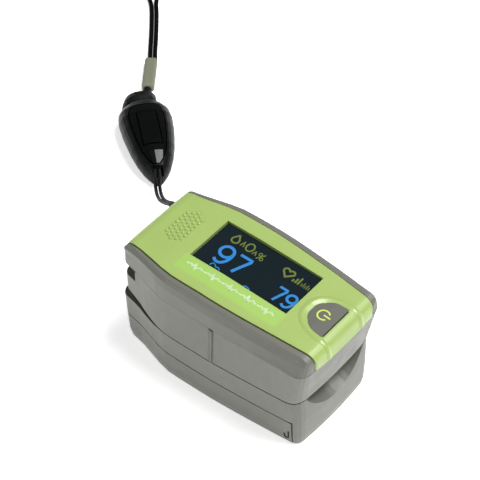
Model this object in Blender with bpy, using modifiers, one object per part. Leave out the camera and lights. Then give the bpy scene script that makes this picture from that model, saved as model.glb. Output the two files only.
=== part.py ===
"""Fingertip pulse oximeter, with its neck lanyard lying behind it. Metres, +Z up.

+X is the mouth that the finger enters, -X is the hinge end, Y runs across the body.
The display half turns about the hinge pin on the battery half, which stands on z = 0.
"""

import math

import bmesh
import bpy
from mathutils import Matrix, Vector

MM = 0.001
GAP = 0.3 * MM  # clearance between pieces that touch

# Two cells side by side set the body's width and the battery half's height
CELL_DIAMETER = 10.5 * MM
CELL_LENGTH = 43.5 * MM  # body; the button on top adds CELL_NUB
CELL_NUB = 1.0 * MM
CELL_SPACE = 0.2 * MM
CELL_SIDE = 5.6 * MM  # from a cell to the body's side at its widest
HINGE_SIDE = 1.8 * MM  # and at the hinge end

# Outline of the body, seen from above
LENGTH = 58.6 * MM
WIDTH = 2 * (CELL_DIAMETER + CELL_SPACE / 2 + CELL_SIDE)
HINGE_TUCK = CELL_SIDE - HINGE_SIDE  # how much narrower each side is at the hinge end
FRONT_TUCK = 1.9 * MM  # and at the mouth
WAIST_START = 2.0 * MM  # the sides swell between these distances from the hinge end
WAIST_END = 19.0 * MM
TAPER_START = 29.0 * MM
TAPER_POWER = 1.4
FRONT_BOW = 1.0 * MM
REAR_BOW = 0.9 * MM
FRONT_CORNER = 3.2 * MM
REAR_CORNER = 3.0 * MM
REAR_X = -LENGTH / 2
FRONT_X = LENGTH / 2
HALF = WIDTH / 2
SEAM_FRONT_TUCK = 0.65 * MM

# Battery half
COVER_FLOOR = 1.3 * MM
COVER_WALL = 0.9 * MM
CELL_Z = COVER_FLOOR + GAP + CELL_DIAMETER / 2
CELL_Y = (CELL_DIAMETER + CELL_SPACE) / 2
BAY_TOP = CELL_Z + CELL_DIAMETER / 2 + GAP
BAY_HALF = CELL_Y + CELL_DIAMETER / 2 + GAP
SEAM_REAR_TUCK = HINGE_TUCK - 0.4 * MM  # the body is squarer where the display half opens for assembly
COVER_SEAM_Z = 8.2 * MM
DECK = 0.8 * MM
DECK_TOP = BAY_TOP + DECK
PAD_RISE = 2.3 * MM
PARTING_Z = DECK_TOP + PAD_RISE
LIP_BACK = 2.2 * MM  # the front face leans back by this much between the seam and the parting line
WALL = 1.5 * MM

# Display half
ROOF_RISE = 6.3 * MM
ROOF = 1.0 * MM
BAND = 4.0 * MM
CROWN = 6.5 * MM
ROOF_Z = PARTING_Z + ROOF_RISE
ROOF_TOP = ROOF_Z + ROOF
SEAM_Z = ROOF_TOP + BAND
TOP_Z = SEAM_Z + CROWN
COVER_SKIN = 1.4 * MM
SHELL_SKIN = 1.2 * MM
COVER_INSET = 3.15 * MM  # from the body's side to the green cover
SHELL_DROP = 0.25 * MM  # the grey shell stays this far below the green cover

# Hinge
HINGE_X = REAR_X + 16.0 * MM
HINGE_Z = PARTING_Z + 1.5 * MM
PIN_RADIUS = 1.0 * MM
PIN_CLEARANCE = 0.1 * MM
EAR_HALF = 2.2 * MM
EAR_THICK = 1.2 * MM
LOWER_EAR_Y = HALF - 6.2 * MM
UPPER_EAR_Y = LOWER_EAR_Y + EAR_THICK + 0.4 * MM
OPENING_ANGLE = math.radians(12.0)
SPRING_COIL = 2.2 * MM
SPRING_WIRE = 0.35 * MM
SPRING_Y = (4.5 * MM, 8.5 * MM)
SPRING_TURNS = 4
SPRING_ARM = 8.0 * MM

# Battery bay, measured from the hinge end
BAY_REAR_X = REAR_X + 2.9 * MM
TAB_THICK = 0.3 * MM
CELL_REAR_X = BAY_REAR_X + 3.5 * MM
CELL_FRONT_X = CELL_REAR_X + CELL_LENGTH + CELL_NUB
BRIDGE_THICK = 0.4 * MM
BAY_FRONT_X = CELL_FRONT_X + BRIDGE_THICK + 3 * GAP
NOSE_X = FRONT_X - 4.2 * MM  # the battery cover ends here, and the housing goes down to the floor
REAR_TAB_HALF = 4.5 * MM
REAR_TAB_TOP = COVER_SEAM_Z + 2.4 * MM

# Finger channel and mouth
CHANNEL_REAR_X = HINGE_X + 4.3 * MM
MOUTH_HALF = 10.8 * MM
MOUTH_DEPTH = 5.6 * MM
MOUTH_SLOPE = math.radians(24.0)
TROUGH_DEPTH = 1.1 * MM
ROOF_ARCH_HALF = 9.5 * MM
ROOF_ARCH_RISE = 4.6 * MM
PAD_EDGE = 3.6 * MM  # from the body's side to the pads
SENSOR_X = 6.0 * MM

# Display and button
WINDOW_FRONT = 13.6 * MM  # from the front end
WINDOW_LENGTH = 28.4 * MM
WINDOW_WIDTH = 14.2 * MM
WINDOW_Y = 1.9 * MM
WINDOW_X = FRONT_X - WINDOW_FRONT - WINDOW_LENGTH / 2
MODULE_MARGIN = 2.6 * MM
BUTTON_FRONT = 3.4 * MM
BUTTON_LENGTH = 7.0 * MM
BUTTON_HALF = 5.3 * MM
BUTTON_TRAVEL = 0.5 * MM
LENS_DROP = 0.5 * MM  # from the green cover down to the lens
BOARD_Z = ROOF_TOP + 1.7 * MM
BOARD_THICK = 1.0 * MM
BOARD_HALF = 9.4 * MM
CONNECTOR_HIGH = 0.9 * MM
# x, and how far in from the side
SCREWS = ((FRONT_X - 8.0 * MM, 3.58 * MM), (REAR_X + 11.0 * MM, 5.87 * MM))
BOSS_RADIUS = 1.6 * MM
BORE_RADIUS = 1.0 * MM
SHANK_RADIUS = 0.7 * MM
HEAD_RADIUS = 1.6 * MM

# Lanyard
POST_X = REAR_X + 3.0 * MM
POST_Y = 6.5 * MM
POST_RADIUS = 1.2 * MM
GROOVE_Z = ROOF_TOP + 0.5 * MM
GROOVE_DEPTH = 6.0 * MM
LOOP_DIAMETER = 0.95 * MM
LOOP_SPREAD = 0.55 * MM
LOOP_BEND = (-148, 66)  # degrees round the post
LOOP_SPLIT = 2  # the point of the smoothed route where the bight ends
LOOP_GAP = 0.5 * MM
LOOP_ROUTE = (
    (-0.0302, 0.0098, 0.0246),
    (-0.0328, 0.0121, 0.0237),
    (-0.0369, 0.0148, 0.0197),
    (-0.0421, 0.0190, 0.0140),
    (-0.0459, 0.0225, 0.0100),
    (-0.0493, 0.0257, 0.0070),
    (-0.0529, 0.0294, 0.0046),
    (-0.0548, 0.0316, 0.0044),
    (-0.0568, 0.0338, 0.0049),
)
BUCKLE_TIP = Vector((-0.0557, 0.0331, 0.0))
BUCKLE_TURN = math.radians(140.0)
# Distance from the tip, half width and height of the buckle, in millimetres
BUCKLE_STATIONS = (
    (0.0, 1.2, 4.2),
    (0.5, 2.0, 5.0),
    (1.5, 2.9, 5.6),
    (2.9, 3.8, 6.3),
    (6.0, 5.1, 7.7),
    (9.4, 6.0, 8.6),
    (12.9, 6.6, 9.1),
    (16.3, 7.1, 9.3),
    (20.6, 7.4, 9.2),
    (23.6, 7.1, 8.8),
    (25.4, 6.2, 8.2),
    (26.8, 4.9, 7.4),
)
BUCKLE_SIDES = 32
INLAY_START = 2.6 * MM
# Distance from its tip, and half width, in millimetres
INLAY_HALVES = (
    (0.0, 0.8),
    (1.2, 1.8),
    (2.5, 2.5),
    (4.0, 3.1),
    (8.0, 3.9),
    (13.5, 4.5),
    (17.0, 4.6),
    (19.2, 4.2),
    (20.4, 3.2),
)
INLAY_DEPTH = 0.8 * MM
INLAY_PROUD = 0.1 * MM
CORD_SLOT = 1.45 * MM
CORD_SLOT_END = 2.2 * MM
CORD_SLOT_LOW = 3.3 * MM
PANEL = (11.4 * MM, 5.0 * MM)
PANEL_MIDDLE = 13.9 * MM
PANEL_TRAVEL = 0.5 * MM
CAP_SIDES = (-4.1 * MM, 5.6 * MM)
CAP_LENGTH = 5.4 * MM
CAP_HEIGHT = 7.4 * MM
SLEEVE_START = Vector((-0.0822, 0.0596, 0.0))
SLEEVE_TURN = math.radians(125.8)
SLEEVE_SIZE = (12.3 * MM, 3.5 * MM, 2.8 * MM)
STRAP_DIAMETER = 1.3 * MM
STRAP_TURN = math.radians(130.0)
# Along the strap from the sleeve's end, the middle of its two strands to the left, and each strand's distance from it

STRAP_ROUTE = (
    (0.0004, -0.0003, 0.00076),
    (0.0040, -0.0003, 0.00076),
    (0.0104, -0.0005, 0.00076),
    (0.0160, -0.0006, 0.00076),
    (0.0220, -0.0006, 0.00076),
    (0.0260, -0.0004, 0.00082),
    (0.0295, -0.0002, 0.00150),
    (0.0335, 0.0, 0.00340),
    (0.0388, 0.0, 0.00660),
    (0.0440, 0.0, 0.00995),
)
COIL_AHEAD = 50.0 * MM
COIL_OUTER = 10.6 * MM
COIL_INNER = 3.8 * MM
COIL_HEIGHT = 5.4 * MM
TIE_WIDTH = 2.6 * MM
TIE_THICK = 0.4 * MM

parts = None
cutters = None


def clear_scene():
    for item in list(bpy.data.objects):
        bpy.data.objects.remove(item, do_unlink=True)


def new_collection(name, hidden=False):
    group = bpy.data.collections.new(name)
    bpy.context.scene.collection.children.link(group)
    group.hide_render = hidden
    return group


def material(name, color, roughness, metallic=0.0):
    made = bpy.data.materials.new(name)
    made.use_nodes = True
    shader = made.node_tree.nodes["Principled BSDF"]
    shader.inputs["Base Color"].default_value = (*color, 1.0)
    shader.inputs["Roughness"].default_value = roughness
    shader.inputs["Metallic"].default_value = metallic
    return made


def put(item, group, finish=None):
    """Moves an object into its collection and gives it its material."""
    for old in list(item.users_collection):
        old.objects.unlink(item)
    group.objects.link(item)
    if group is cutters:
        item.hide_render = True
        item.display_type = "WIRE"
    if finish is not None:
        item.data.materials.clear()
        item.data.materials.append(finish)
    return item


def from_bmesh(name, shape, group, finish=None):
    bmesh.ops.recalc_face_normals(shape, faces=shape.faces)
    mesh = bpy.data.meshes.new(name)
    shape.to_mesh(mesh)
    shape.free()
    return put(bpy.data.objects.new(name, mesh), group, finish)


def box(name, low, high, group, finish=None):
    shape = bmesh.new()
    bmesh.ops.create_cube(shape, size=1.0)
    low = Vector(low)
    high = Vector(high)
    size = high - low
    bmesh.ops.scale(shape, vec=size, verts=shape.verts)
    bmesh.ops.translate(shape, vec=(low + high) / 2, verts=shape.verts)
    return from_bmesh(name, shape, group, finish)


def cylinder(name, start, end, radius, group, finish=None, sides=24, end_radius=None):
    """A round bar, or a cone, from start to end."""
    start = Vector(start)
    end = Vector(end)
    run = end - start
    shape = bmesh.new()
    turn = Vector((0, 0, 1)).rotation_difference(run).to_matrix().to_4x4()
    bmesh.ops.create_cone(
        shape,
        cap_ends=True,
        segments=sides,
        radius1=radius,
        radius2=radius if end_radius is None else end_radius,
        depth=run.length,
        matrix=Matrix.Translation((start + end) / 2) @ turn,
    )
    item = from_bmesh(name, shape, group, finish)
    item.data.shade_smooth()
    item.data.set_sharp_from_angle(angle=math.radians(35))
    return item


def boolean(item, other, operation="DIFFERENCE"):
    step = item.modifiers.new(other.name, "BOOLEAN")
    step.operation = operation
    step.object = other
    return item


def cut(item, *others):
    for other in others:
        boolean(item, other)
    return item


def join(item, *others):
    for other in others:
        boolean(item, other, "UNION")
    return item


def bevel(item, width, segments=2, angle=40):
    step = item.modifiers.new("edges", "BEVEL")
    step.width = width
    step.segments = segments
    step.limit_method = "ANGLE"
    step.angle_limit = math.radians(angle)
    return item


def smooth(share):
    share = min(max(share, 0.0), 1.0)
    return share * share * (3 - 2 * share)


def side_at(x, rear_tuck=HINGE_TUCK, front_tuck=FRONT_TUCK):
    """Half the body's width at x."""
    swell = smooth((x - REAR_X - WAIST_START) / (WAIST_END - WAIST_START))
    taper = max(0.0, (x - REAR_X - TAPER_START) / (LENGTH - TAPER_START)) ** TAPER_POWER
    return HALF - rear_tuck * (1 - swell) - front_tuck * taper


def corner(start, knee, end, steps):
    """A round corner between two points, with its tangents through the knee."""
    made = []
    for step in range(1, steps):
        t = step / steps
        made.append(
            tuple((1 - t) ** 2 * a + 2 * t * (1 - t) * b + t * t * c for a, b, c in zip(start, knee, end))
        )
    return made


def outline(inset=0.0, nose=0.0, tail=0.0, rear_tuck=HINGE_TUCK, front_tuck=FRONT_TUCK):
    """The body's outline from above, anticlockwise, moved in by inset all round, and at each end by nose and tail."""
    front = FRONT_X - inset - nose
    rear = REAR_X + inset + tail
    front_round = max(FRONT_CORNER - inset, 0.6 * MM)
    rear_round = max(REAR_CORNER - inset, 0.6 * MM)

    def side(x):
        return side_at(x, rear_tuck, front_tuck) - inset

    def front_at(y):
        return front - FRONT_BOW * (y / HALF) ** 2

    def rear_at(y):
        return rear + REAR_BOW * (y / HALF) ** 2

    half_front = side(front)
    half_rear = side(rear)
    points = []
    for step in range(4):
        y = (half_front - front_round) * step / 3
        points.append((front_at(y), y))
    side_front = front_at(half_front) - front_round
    side_rear = rear_at(half_rear) + rear_round
    points += corner(points[-1], (front_at(half_front), half_front), (side_front, side(side_front)), 4)
    for step in range(16):
        x = side_front + (side_rear - side_front) * step / 15
        points.append((x, side(x)))
    last = (rear_at(half_rear - rear_round), half_rear - rear_round)
    points += corner(points[-1], (rear_at(half_rear), half_rear), last, 4)
    for step in range(4):
        y = last[1] * (1 - step / 3)
        points.append((rear_at(y), y))
    mirrored = [(x, -y) for x, y in reversed(points[1:-1])]
    return points + mirrored


def loft(name, levels, group, finish=None):
    """A solid through outlines at several heights: each level is z, then what outline takes."""
    shape = bmesh.new()
    rings = []
    for z, *form in levels:
        rings.append([shape.verts.new((x, y, z)) for x, y in outline(*form)])
    for low, high in zip(rings, rings[1:]):
        for index in range(len(low)):
            after = (index + 1) % len(low)
            shape.faces.new((low[index], low[after], high[after], high[index]))
    shape.faces.new(reversed(rings[0]))
    shape.faces.new(rings[-1])
    item = from_bmesh(name, shape, group, finish)
    item.data.shade_smooth()
    item.data.set_sharp_from_angle(angle=math.radians(30))
    return item


def plate(name, points, thickness, group, finish=None, place=None):
    """A flat outline given a thickness, as a mesh, so that it can be cut."""
    line = bpy.data.curves.new(name, "CURVE")
    line.dimensions = "2D"
    line.fill_mode = "BOTH"
    line.extrude = thickness / 2
    spline = line.splines.new("POLY")
    spline.points.add(len(points) - 1)
    for point, (u, v) in zip(spline.points, points):
        point.co = (u, v, 0, 1)
    spline.use_cyclic_u = True
    guide = bpy.data.objects.new(name + "_guide", line)
    bpy.context.scene.collection.objects.link(guide)
    return solid_from(guide, name, group, finish, place)


def solid_from(guide, name, group, finish=None, place=None):
    """The mesh of a curve, with its caps welded on, in place of the curve."""
    bpy.context.view_layer.update()
    graph = bpy.context.evaluated_depsgraph_get()
    mesh = bpy.data.meshes.new_from_object(guide.evaluated_get(graph))
    shape = bmesh.new()
    shape.from_mesh(mesh)
    bmesh.ops.remove_doubles(shape, verts=shape.verts, dist=1e-6)
    bmesh.ops.transform(shape, matrix=place or guide.matrix_world, verts=shape.verts)
    bpy.data.objects.remove(guide, do_unlink=True)
    bpy.data.meshes.remove(mesh)
    return from_bmesh(name, shape, group, finish)


def side_plate(name, points, low_y, high_y, group, finish=None):
    """An outline in X and Z, extruded across the body from low_y to high_y."""
    place = Matrix.Translation((0, (low_y + high_y) / 2, 0)) @ Matrix.Rotation(math.pi / 2, 4, "X")
    return plate(name, points, high_y - low_y, group, finish, place)


def through(points, steps):
    """A smooth curve through points, with that many steps between each two."""
    points = [Vector(p) for p in points]
    ends = [2 * points[0] - points[1]] + points + [2 * points[-1] - points[-2]]
    made = []
    for a, b, c, d in zip(ends, ends[1:], ends[2:], ends[3:]):
        for step in range(steps):
            t = step / steps
            made.append(
                0.5 * (
                    2 * b + (c - a) * t + (2 * a - 5 * b + 4 * c - d) * t**2 + (3 * b - a - 3 * c + d) * t**3
                )
            )
    return made + [points[-1]]


def tube(name, points, diameter, group, finish=None):
    """A round cord or wire along points."""
    line = bpy.data.curves.new(name, "CURVE")
    line.dimensions = "3D"
    line.bevel_depth = diameter / 2
    line.bevel_resolution = 2
    line.use_fill_caps = True
    spline = line.splines.new("POLY")
    spline.points.add(len(points) - 1)
    for place, point in zip(spline.points, points):
        place.co = (*point, 1)
    item = bpy.data.objects.new(name, line)
    return put(item, group, finish)


def moved(points, distance):
    """A polyline in X and Z moved to its right-hand side."""
    made = []
    for index, point in enumerate(points):
        before = points[max(index - 1, 0)]
        after = points[min(index + 1, len(points) - 1)]
        run = (after - before).normalized()
        made.append(point + Vector((run.z, 0, -run.x)) * distance)
    return made


def crown_line():
    """The green cover's outer line from the rear edge over the top and down the apron, in X and Z."""
    rear_rise = (REAR_X + 0.9 * MM, TOP_Z - 3.6 * MM)
    rear_top = (REAR_X + 4.5 * MM, TOP_Z - 0.1 * MM)
    middle = (
        (REAR_X + 12.0 * MM, TOP_Z),
        (WINDOW_X - WINDOW_LENGTH / 6, TOP_Z - 0.05 * MM),
        (WINDOW_X + WINDOW_LENGTH / 6, TOP_Z - 0.5 * MM),
        (FRONT_X - 11.8 * MM, TOP_Z - 1.1 * MM),
    )
    front_top = (FRONT_X - 3.4 * MM, TOP_Z - 1.75 * MM)
    front_drop = (FRONT_X - 0.35 * MM, TOP_Z - 4.9 * MM)
    line = [(REAR_X + 0.35 * MM, SEAM_Z), rear_rise]
    line += corner(rear_rise, (REAR_X + 1.3 * MM, TOP_Z - 0.3 * MM), rear_top, 7)
    line += [rear_top, *middle, front_top]
    line += corner(front_top, (FRONT_X - 0.5 * MM, TOP_Z - 2.05 * MM), front_drop, 8)
    line += [front_drop, (FRONT_X, SEAM_Z)]
    return [Vector((x, 0, z)) for x, z in line]


def crown_z(x):
    """The cover's height at x, with its rounded ends left out."""
    line = [p for p in crown_line() if p.z > TOP_Z - 1.8 * MM and p.x < FRONT_X - 3 * MM]
    x = min(max(x, line[0].x), line[-1].x)
    for a, b in zip(line, line[1:]):
        if a.x <= x <= b.x:
            return a.z + (b.z - a.z) * (x - a.x) / (b.x - a.x)
    return TOP_Z


def below_crown(name, depth, straight=False):
    """Everything under the crown line moved in, or straight down, by depth, for cutting shapes to it."""
    if straight:
        line = [p - Vector((0, 0, depth)) for p in crown_line()]
    else:
        line = moved(crown_line(), depth)
    points = [(p.x, p.z) for p in line]
    points.append((points[-1][0], 0.0))
    points.append((points[0][0], 0.0))
    points.reverse()
    return side_plate(name, points, -HALF * 2, HALF * 2, cutters)


def follow_crown(item, base=None):
    """Lets a shape sink with the crown line: all of it, or less towards the height of base."""
    for vert in item.data.vertices:
        share = 1.0 if base is None else max(0.0, (vert.co.z - base) / (TOP_Z - base))
        vert.co.z += (crown_z(vert.co.x) - TOP_Z) * share
    return item


def button_outline(grow=0.0):
    """The power button from above: a flat front edge and a round rear end."""
    front = FRONT_X - BUTTON_FRONT + grow
    half = BUTTON_HALF + grow
    rear = front - BUTTON_LENGTH - 2 * grow
    points = [(front, -half), (front, half)]
    for step in range(1, 12):
        angle = math.pi * step / 12
        bulge = math.sin(angle) ** 0.8
        points.append((front - 1.2 * MM - (front - 1.2 * MM - rear) * bulge, half * math.cos(angle)))
    return points


def rear_edge():
    """The display half's lower edge behind the pivot, rising to the hinge end, in X and Z."""
    return (
        (HINGE_X, PARTING_Z + GAP / 2),
        (HINGE_X - 3.6 * MM, PARTING_Z + 0.4 * MM),
        (HINGE_X - 6.8 * MM, PARTING_Z + 1.0 * MM),
        (HINGE_X - 10.2 * MM, PARTING_Z + 2.1 * MM),
        (REAR_X - 1.0 * MM, PARTING_Z + 3.9 * MM),
    )


def make_lower_housing(finish):
    levels = (
        (0.0, 1.9 * MM, LIP_BACK - 1.1 * MM, 0.4 * MM),
        (0.5 * MM, 1.2 * MM, LIP_BACK - 1.1 * MM, 0.2 * MM),
        (2.5 * MM, 0.8 * MM, LIP_BACK - 1.0 * MM, 0.0),
        (COVER_SEAM_Z, 0.4 * MM, LIP_BACK - 0.7 * MM, 0.0),
        (PARTING_Z, 0.0, LIP_BACK, 0.0),
        (HINGE_Z + 4.0 * MM, 0.0, LIP_BACK, 0.0),
    )
    item = loft("lower_housing", levels, parts, finish)
    seam = COVER_SEAM_Z + GAP
    spread = 2 * HALF
    cover_space = box("cover_space", (2 * REAR_X, -spread, -0.01), (NOSE_X, spread, seam), cutters)
    top = [(FRONT_X * 2, PARTING_Z - GAP / 2)]
    for x, z in rear_edge():
        fall = GAP + math.tan(OPENING_ANGLE) * (HINGE_X - x)
        top.append((x, z - fall))
    top += [(2 * REAR_X, top[-1][1]), (2 * REAR_X, TOP_Z), (FRONT_X * 2, TOP_Z)]
    above = side_plate("above_lower", top, -spread, spread, cutters)
    bay = box(
        "bay",
        (BAY_REAR_X, -BAY_HALF, -0.01),
        (BAY_FRONT_X, BAY_HALF, BAY_TOP),
        cutters,
    )
    deck_levels = [(z, WALL, LIP_BACK, 0.0) for z in (DECK_TOP, TOP_Z)]
    chamber = loft("chamber", deck_levels, cutters)
    recess = box(
        "tab_recess",
        (2 * REAR_X, -REAR_TAB_HALF - GAP, 0),
        (REAR_X + 1.0 * MM + GAP, REAR_TAB_HALF + GAP, REAR_TAB_TOP + GAP),
        cutters,
    )
    cut(item, cover_space, above, chamber)
    for side in (-1, 1):
        join(item, tongue(side), lower_ear(side))
    join(item, bay_wall())
    cut(item, bay, recess, mouth_cutter(), ribbon_slot(), sensor_hole(), ear_holes("lower_ear_hole"))
    return item


def tongue(side):
    """A wall that reaches down inside the battery cover and holds the cells from the side."""
    low = side * BAY_HALF
    high = side * (BAY_HALF + 1.1 * MM)
    return box(
        f"tongue_{side}",
        (REAR_X + WAIST_END, min(low, high), 2.6 * MM),
        (BAY_FRONT_X, max(low, high), COVER_SEAM_Z + 1.0 * MM),
        cutters,
    )


def bay_wall():
    reach = BAY_HALF + 1.1 * MM
    low = (BAY_FRONT_X - 0.2 * MM, -reach, COVER_FLOOR + GAP)
    return box("bay_wall", low, (BAY_FRONT_X + 1.1 * MM, reach, COVER_SEAM_Z + 1.0 * MM), cutters)


def lower_ear(side):
    low = side * LOWER_EAR_Y
    high = side * (LOWER_EAR_Y + EAR_THICK)
    return box(
        f"lower_ear_{side}",
        (HINGE_X - EAR_HALF, min(low, high), BAY_TOP + 0.2 * MM),
        (HINGE_X + EAR_HALF, max(low, high), HINGE_Z + EAR_HALF),
        cutters,
    )


def upper_ear(side):
    low = side * UPPER_EAR_Y
    high = side * (UPPER_EAR_Y + EAR_THICK)
    return box(
        f"upper_ear_{side}",
        (HINGE_X - EAR_HALF, min(low, high), HINGE_Z - EAR_HALF - 0.2 * MM),
        (HINGE_X + EAR_HALF, max(low, high), ROOF_Z + ROOF / 2),
        cutters,
    )


def ear_holes(name):
    reach = UPPER_EAR_Y + EAR_THICK + 0.2 * MM
    low = (HINGE_X, -reach, HINGE_Z)
    return cylinder(name, low, (HINGE_X, reach, HINGE_Z), PIN_RADIUS + PIN_CLEARANCE, cutters)


def mouth_cutter():
    """The crescent that the finger enters, sloping up into the channel."""
    radius = (MOUTH_HALF**2 + MOUTH_DEPTH**2) / (2 * MOUTH_DEPTH)
    centre = Vector((FRONT_X - 2.4 * MM, 0, PARTING_Z - MOUTH_DEPTH + radius))
    run = Vector((math.cos(MOUTH_SLOPE), 0, -math.sin(MOUTH_SLOPE)))
    return cylinder("mouth", centre - run * 7.5 * MM, centre + run * 15 * MM, radius, cutters, sides=48)


def ribbon_slot():
    low = (CHANNEL_REAR_X - 2.2 * MM, -2.2 * MM, BAY_TOP - 1 * MM)
    return box("ribbon_slot", low, (CHANNEL_REAR_X - 0.5 * MM, 2.2 * MM, DECK_TOP + 1 * MM), cutters)


def sensor_hole():
    low = (SENSOR_X - 2.1 * MM, -2.1 * MM, BAY_TOP - 1 * MM)
    return box("sensor_hole", low, (SENSOR_X + 2.1 * MM, 2.1 * MM, DECK_TOP + 1 * MM), cutters)


def make_battery_cover(finish):
    outer = (
        (0.0, 1.9 * MM, 0.0, 0.4 * MM),
        (0.5 * MM, 1.2 * MM, 0.0, 0.2 * MM),
        (2.5 * MM, 0.8 * MM, 0.0, 0.0),
        (COVER_SEAM_Z, 0.4 * MM, 0.0, 0.0),
    )
    item = loft("battery_cover", outer, parts, finish)
    inner = [
        (COVER_FLOOR, 1.1 * MM + COVER_WALL, -8 * MM, 0.0),
        (2.5 * MM, 0.8 * MM + COVER_WALL, -8 * MM, 0.0),
        (COVER_SEAM_Z + 1 * MM, 0.36 * MM + COVER_WALL, -8 * MM, 0.0),
    ]
    spread = 2 * HALF
    front = box("cover_front", (NOSE_X - GAP, -spread, -0.01), (2 * FRONT_X, spread, 0.1), cutters)
    tab = box(
        "cover_tab",
        (REAR_X, -REAR_TAB_HALF, COVER_SEAM_Z / 2),
        (REAR_X + 1.0 * MM, REAR_TAB_HALF, REAR_TAB_TOP),
        cutters,
    )
    join(item, tab)
    return cut(item, loft("cover_hollow", inner, cutters), front)


def make_upper_base(finish):
    outer = (
        (PARTING_Z - 2 * MM, 0.0, LIP_BACK + 0.3 * MM, 1.1 * MM),
        (PARTING_Z + GAP / 2, 0.0, LIP_BACK, 1.1 * MM),
        (SEAM_Z - GAP / 2, 0.3 * MM, 0.0, 0.8 * MM, SEAM_REAR_TUCK, SEAM_FRONT_TUCK),
    )
    item = loft("upper_base", outer, parts, finish)
    spread = 2 * HALF
    under = [(FRONT_X * 2, PARTING_Z + GAP / 2)]
    under += list(rear_edge())
    under += [(2 * REAR_X, under[-1][1]), (2 * REAR_X, 0), (FRONT_X * 2, 0)]
    below = side_plate("below_upper", under, -spread, spread, cutters)
    room = [(z, WALL, LIP_BACK + 0.3 * MM, 1.1 * MM) for z in (0.0, ROOF_Z)]
    bay = [(z, WALL + 0.4 * MM, 0.8 * MM, GROOVE_DEPTH - 0.4 * MM) for z in (ROOF_TOP, TOP_Z)]
    groove = box(
        "lanyard_groove",
        (2 * REAR_X, -spread, GROOVE_Z),
        (REAR_X + GROOVE_DEPTH, spread, TOP_Z),
        cutters,
    )
    cut(item, below, loft("finger_room", room, cutters), loft("board_bay", bay, cutters), groove)
    post = cylinder(
        "post",
        (POST_X, POST_Y, GROOVE_Z - 0.3 * MM),
        (POST_X, POST_Y, SEAM_Z - GAP / 2),
        POST_RADIUS,
        cutters,
        sides=16,
    )
    join(item, post, upper_ear(-1), upper_ear(1))
    slot = box(
        "roof_slot",
        (CHANNEL_REAR_X - 3.6 * MM, -2.4 * MM, ROOF_Z - 1 * MM),
        (CHANNEL_REAR_X + 0.2 * MM, 2.4 * MM, ROOF_TOP + 1 * MM),
        cutters,
    )
    emitter_hole = cylinder(
        "emitter_hole",
        (SENSOR_X, 0, ROOF_Z - 1 * MM),
        (SENSOR_X, 0, ROOF_TOP + 1 * MM),
        2.3 * MM,
        cutters,
    )
    cut(item, slot, emitter_hole, ear_holes("upper_ear_hole"))
    for number, (x, y) in enumerate(screw_places()):
        cut(
            item,
            cylinder(
                f"roof_bore_{number}",
                (x, y, ROOF_Z - 1 * MM),
                (x, y, ROOF_TOP + 1 * MM),
                BORE_RADIUS,
                cutters,
            ),
        )
    return item


def screw_places():
    return [(x, side * (side_at(x) - inset)) for x, inset in SCREWS for side in (-1, 1)]


SHELL_RINGS = (
    (SEAM_Z + GAP / 2, 0.3 * MM, SEAM_REAR_TUCK, SEAM_FRONT_TUCK),
    (TOP_Z - 2.8 * MM, 0.5 * MM, SEAM_REAR_TUCK, 1.5 * MM),
    (TOP_Z - 1.1 * MM, 0.85 * MM, 2.9 * MM, 2.2 * MM),
    (TOP_Z - 0.5 * MM, 1.3 * MM, 2.9 * MM, 2.3 * MM),
    (TOP_Z - 0.15 * MM, 2.0 * MM, 2.8 * MM, 2.4 * MM),
    (TOP_Z + 0.3 * MM, 3.2 * MM, 2.7 * MM, 2.4 * MM),
)


def make_top_shell(finish):
    rings = [
        (z, inset, 0.3 * MM - inset, 0.8 * MM - inset, rear, front) for z, inset, rear, front in SHELL_RINGS
    ]
    item = follow_crown(loft("top_shell", rings, parts, finish), SEAM_Z + 1 * MM)
    boolean(item, below_crown("shell_crown", SHELL_DROP), "INTERSECT")
    pocket = loft("cover_pocket", cover_levels(-GAP), cutters)
    cut(pocket, below_crown("pocket_floor", COVER_SKIN + GAP))
    skin = COVER_SKIN + GAP + SHELL_SKIN
    inner = (
        (SEAM_Z - 1 * MM, 0.4 * MM + WALL, 1.5 * MM, GROOVE_DEPTH),
        (TOP_Z - 2.8 * MM, 0.6 * MM + WALL, 1.2 * MM, GROOVE_DEPTH),
        (TOP_Z, 2.2 * MM + WALL, 1.2 * MM, GROOVE_DEPTH - 2 * MM),
    )
    hollow = loft("shell_hollow", inner, cutters)
    boolean(hollow, below_crown("hollow_crown", skin, straight=True), "INTERSECT")
    cut(item, pocket, hollow)
    for number, (x, y) in enumerate(screw_places()):
        top = crown_z(x) - skin + SHELL_SKIN / 2
        join(
            item,
            cylinder(f"boss_{number}", (x, y, ROOF_TOP + GAP), (x, y, top), BOSS_RADIUS, cutters, sides=20),
        )
        bore_top = SEAM_Z + 1.2 * MM
        cut(
            item,
            cylinder(
                f"bore_{number}",
                (x, y, ROOF_TOP - 1 * MM),
                (x, y, bore_top),
                BORE_RADIUS,
                cutters,
                sides=16,
            ),
        )
    (low_x, high_x), (low_y, high_y) = module_span(GAP)
    opening = box("display_opening", (low_x, low_y, SEAM_Z), (high_x, high_y, TOP_Z + 2 * MM), cutters)
    hole = plate(
        "shell_button_hole",
        button_outline(2 * GAP),
        12 * MM,
        cutters,
        place=Matrix.Translation((0, 0, TOP_Z - 3 * MM)),
    )
    return cut(item, opening, hole)


def cover_levels(grow):
    """The green cover is set in from the body's sides, and runs on down the front as an apron."""
    inset = COVER_INSET + grow
    levels = (
        (SEAM_Z + GAP, inset, 0.0 - inset, 1.9 * MM - COVER_INSET),
        (TOP_Z - 2.5 * MM, inset, 0.0 - inset, 1.9 * MM - COVER_INSET),
        (TOP_Z + 2 * MM, inset, 0.0 - inset, 1.9 * MM - COVER_INSET),
    )
    return [(*level, 2.4 * MM, 2.2 * MM) for level in levels]


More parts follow.
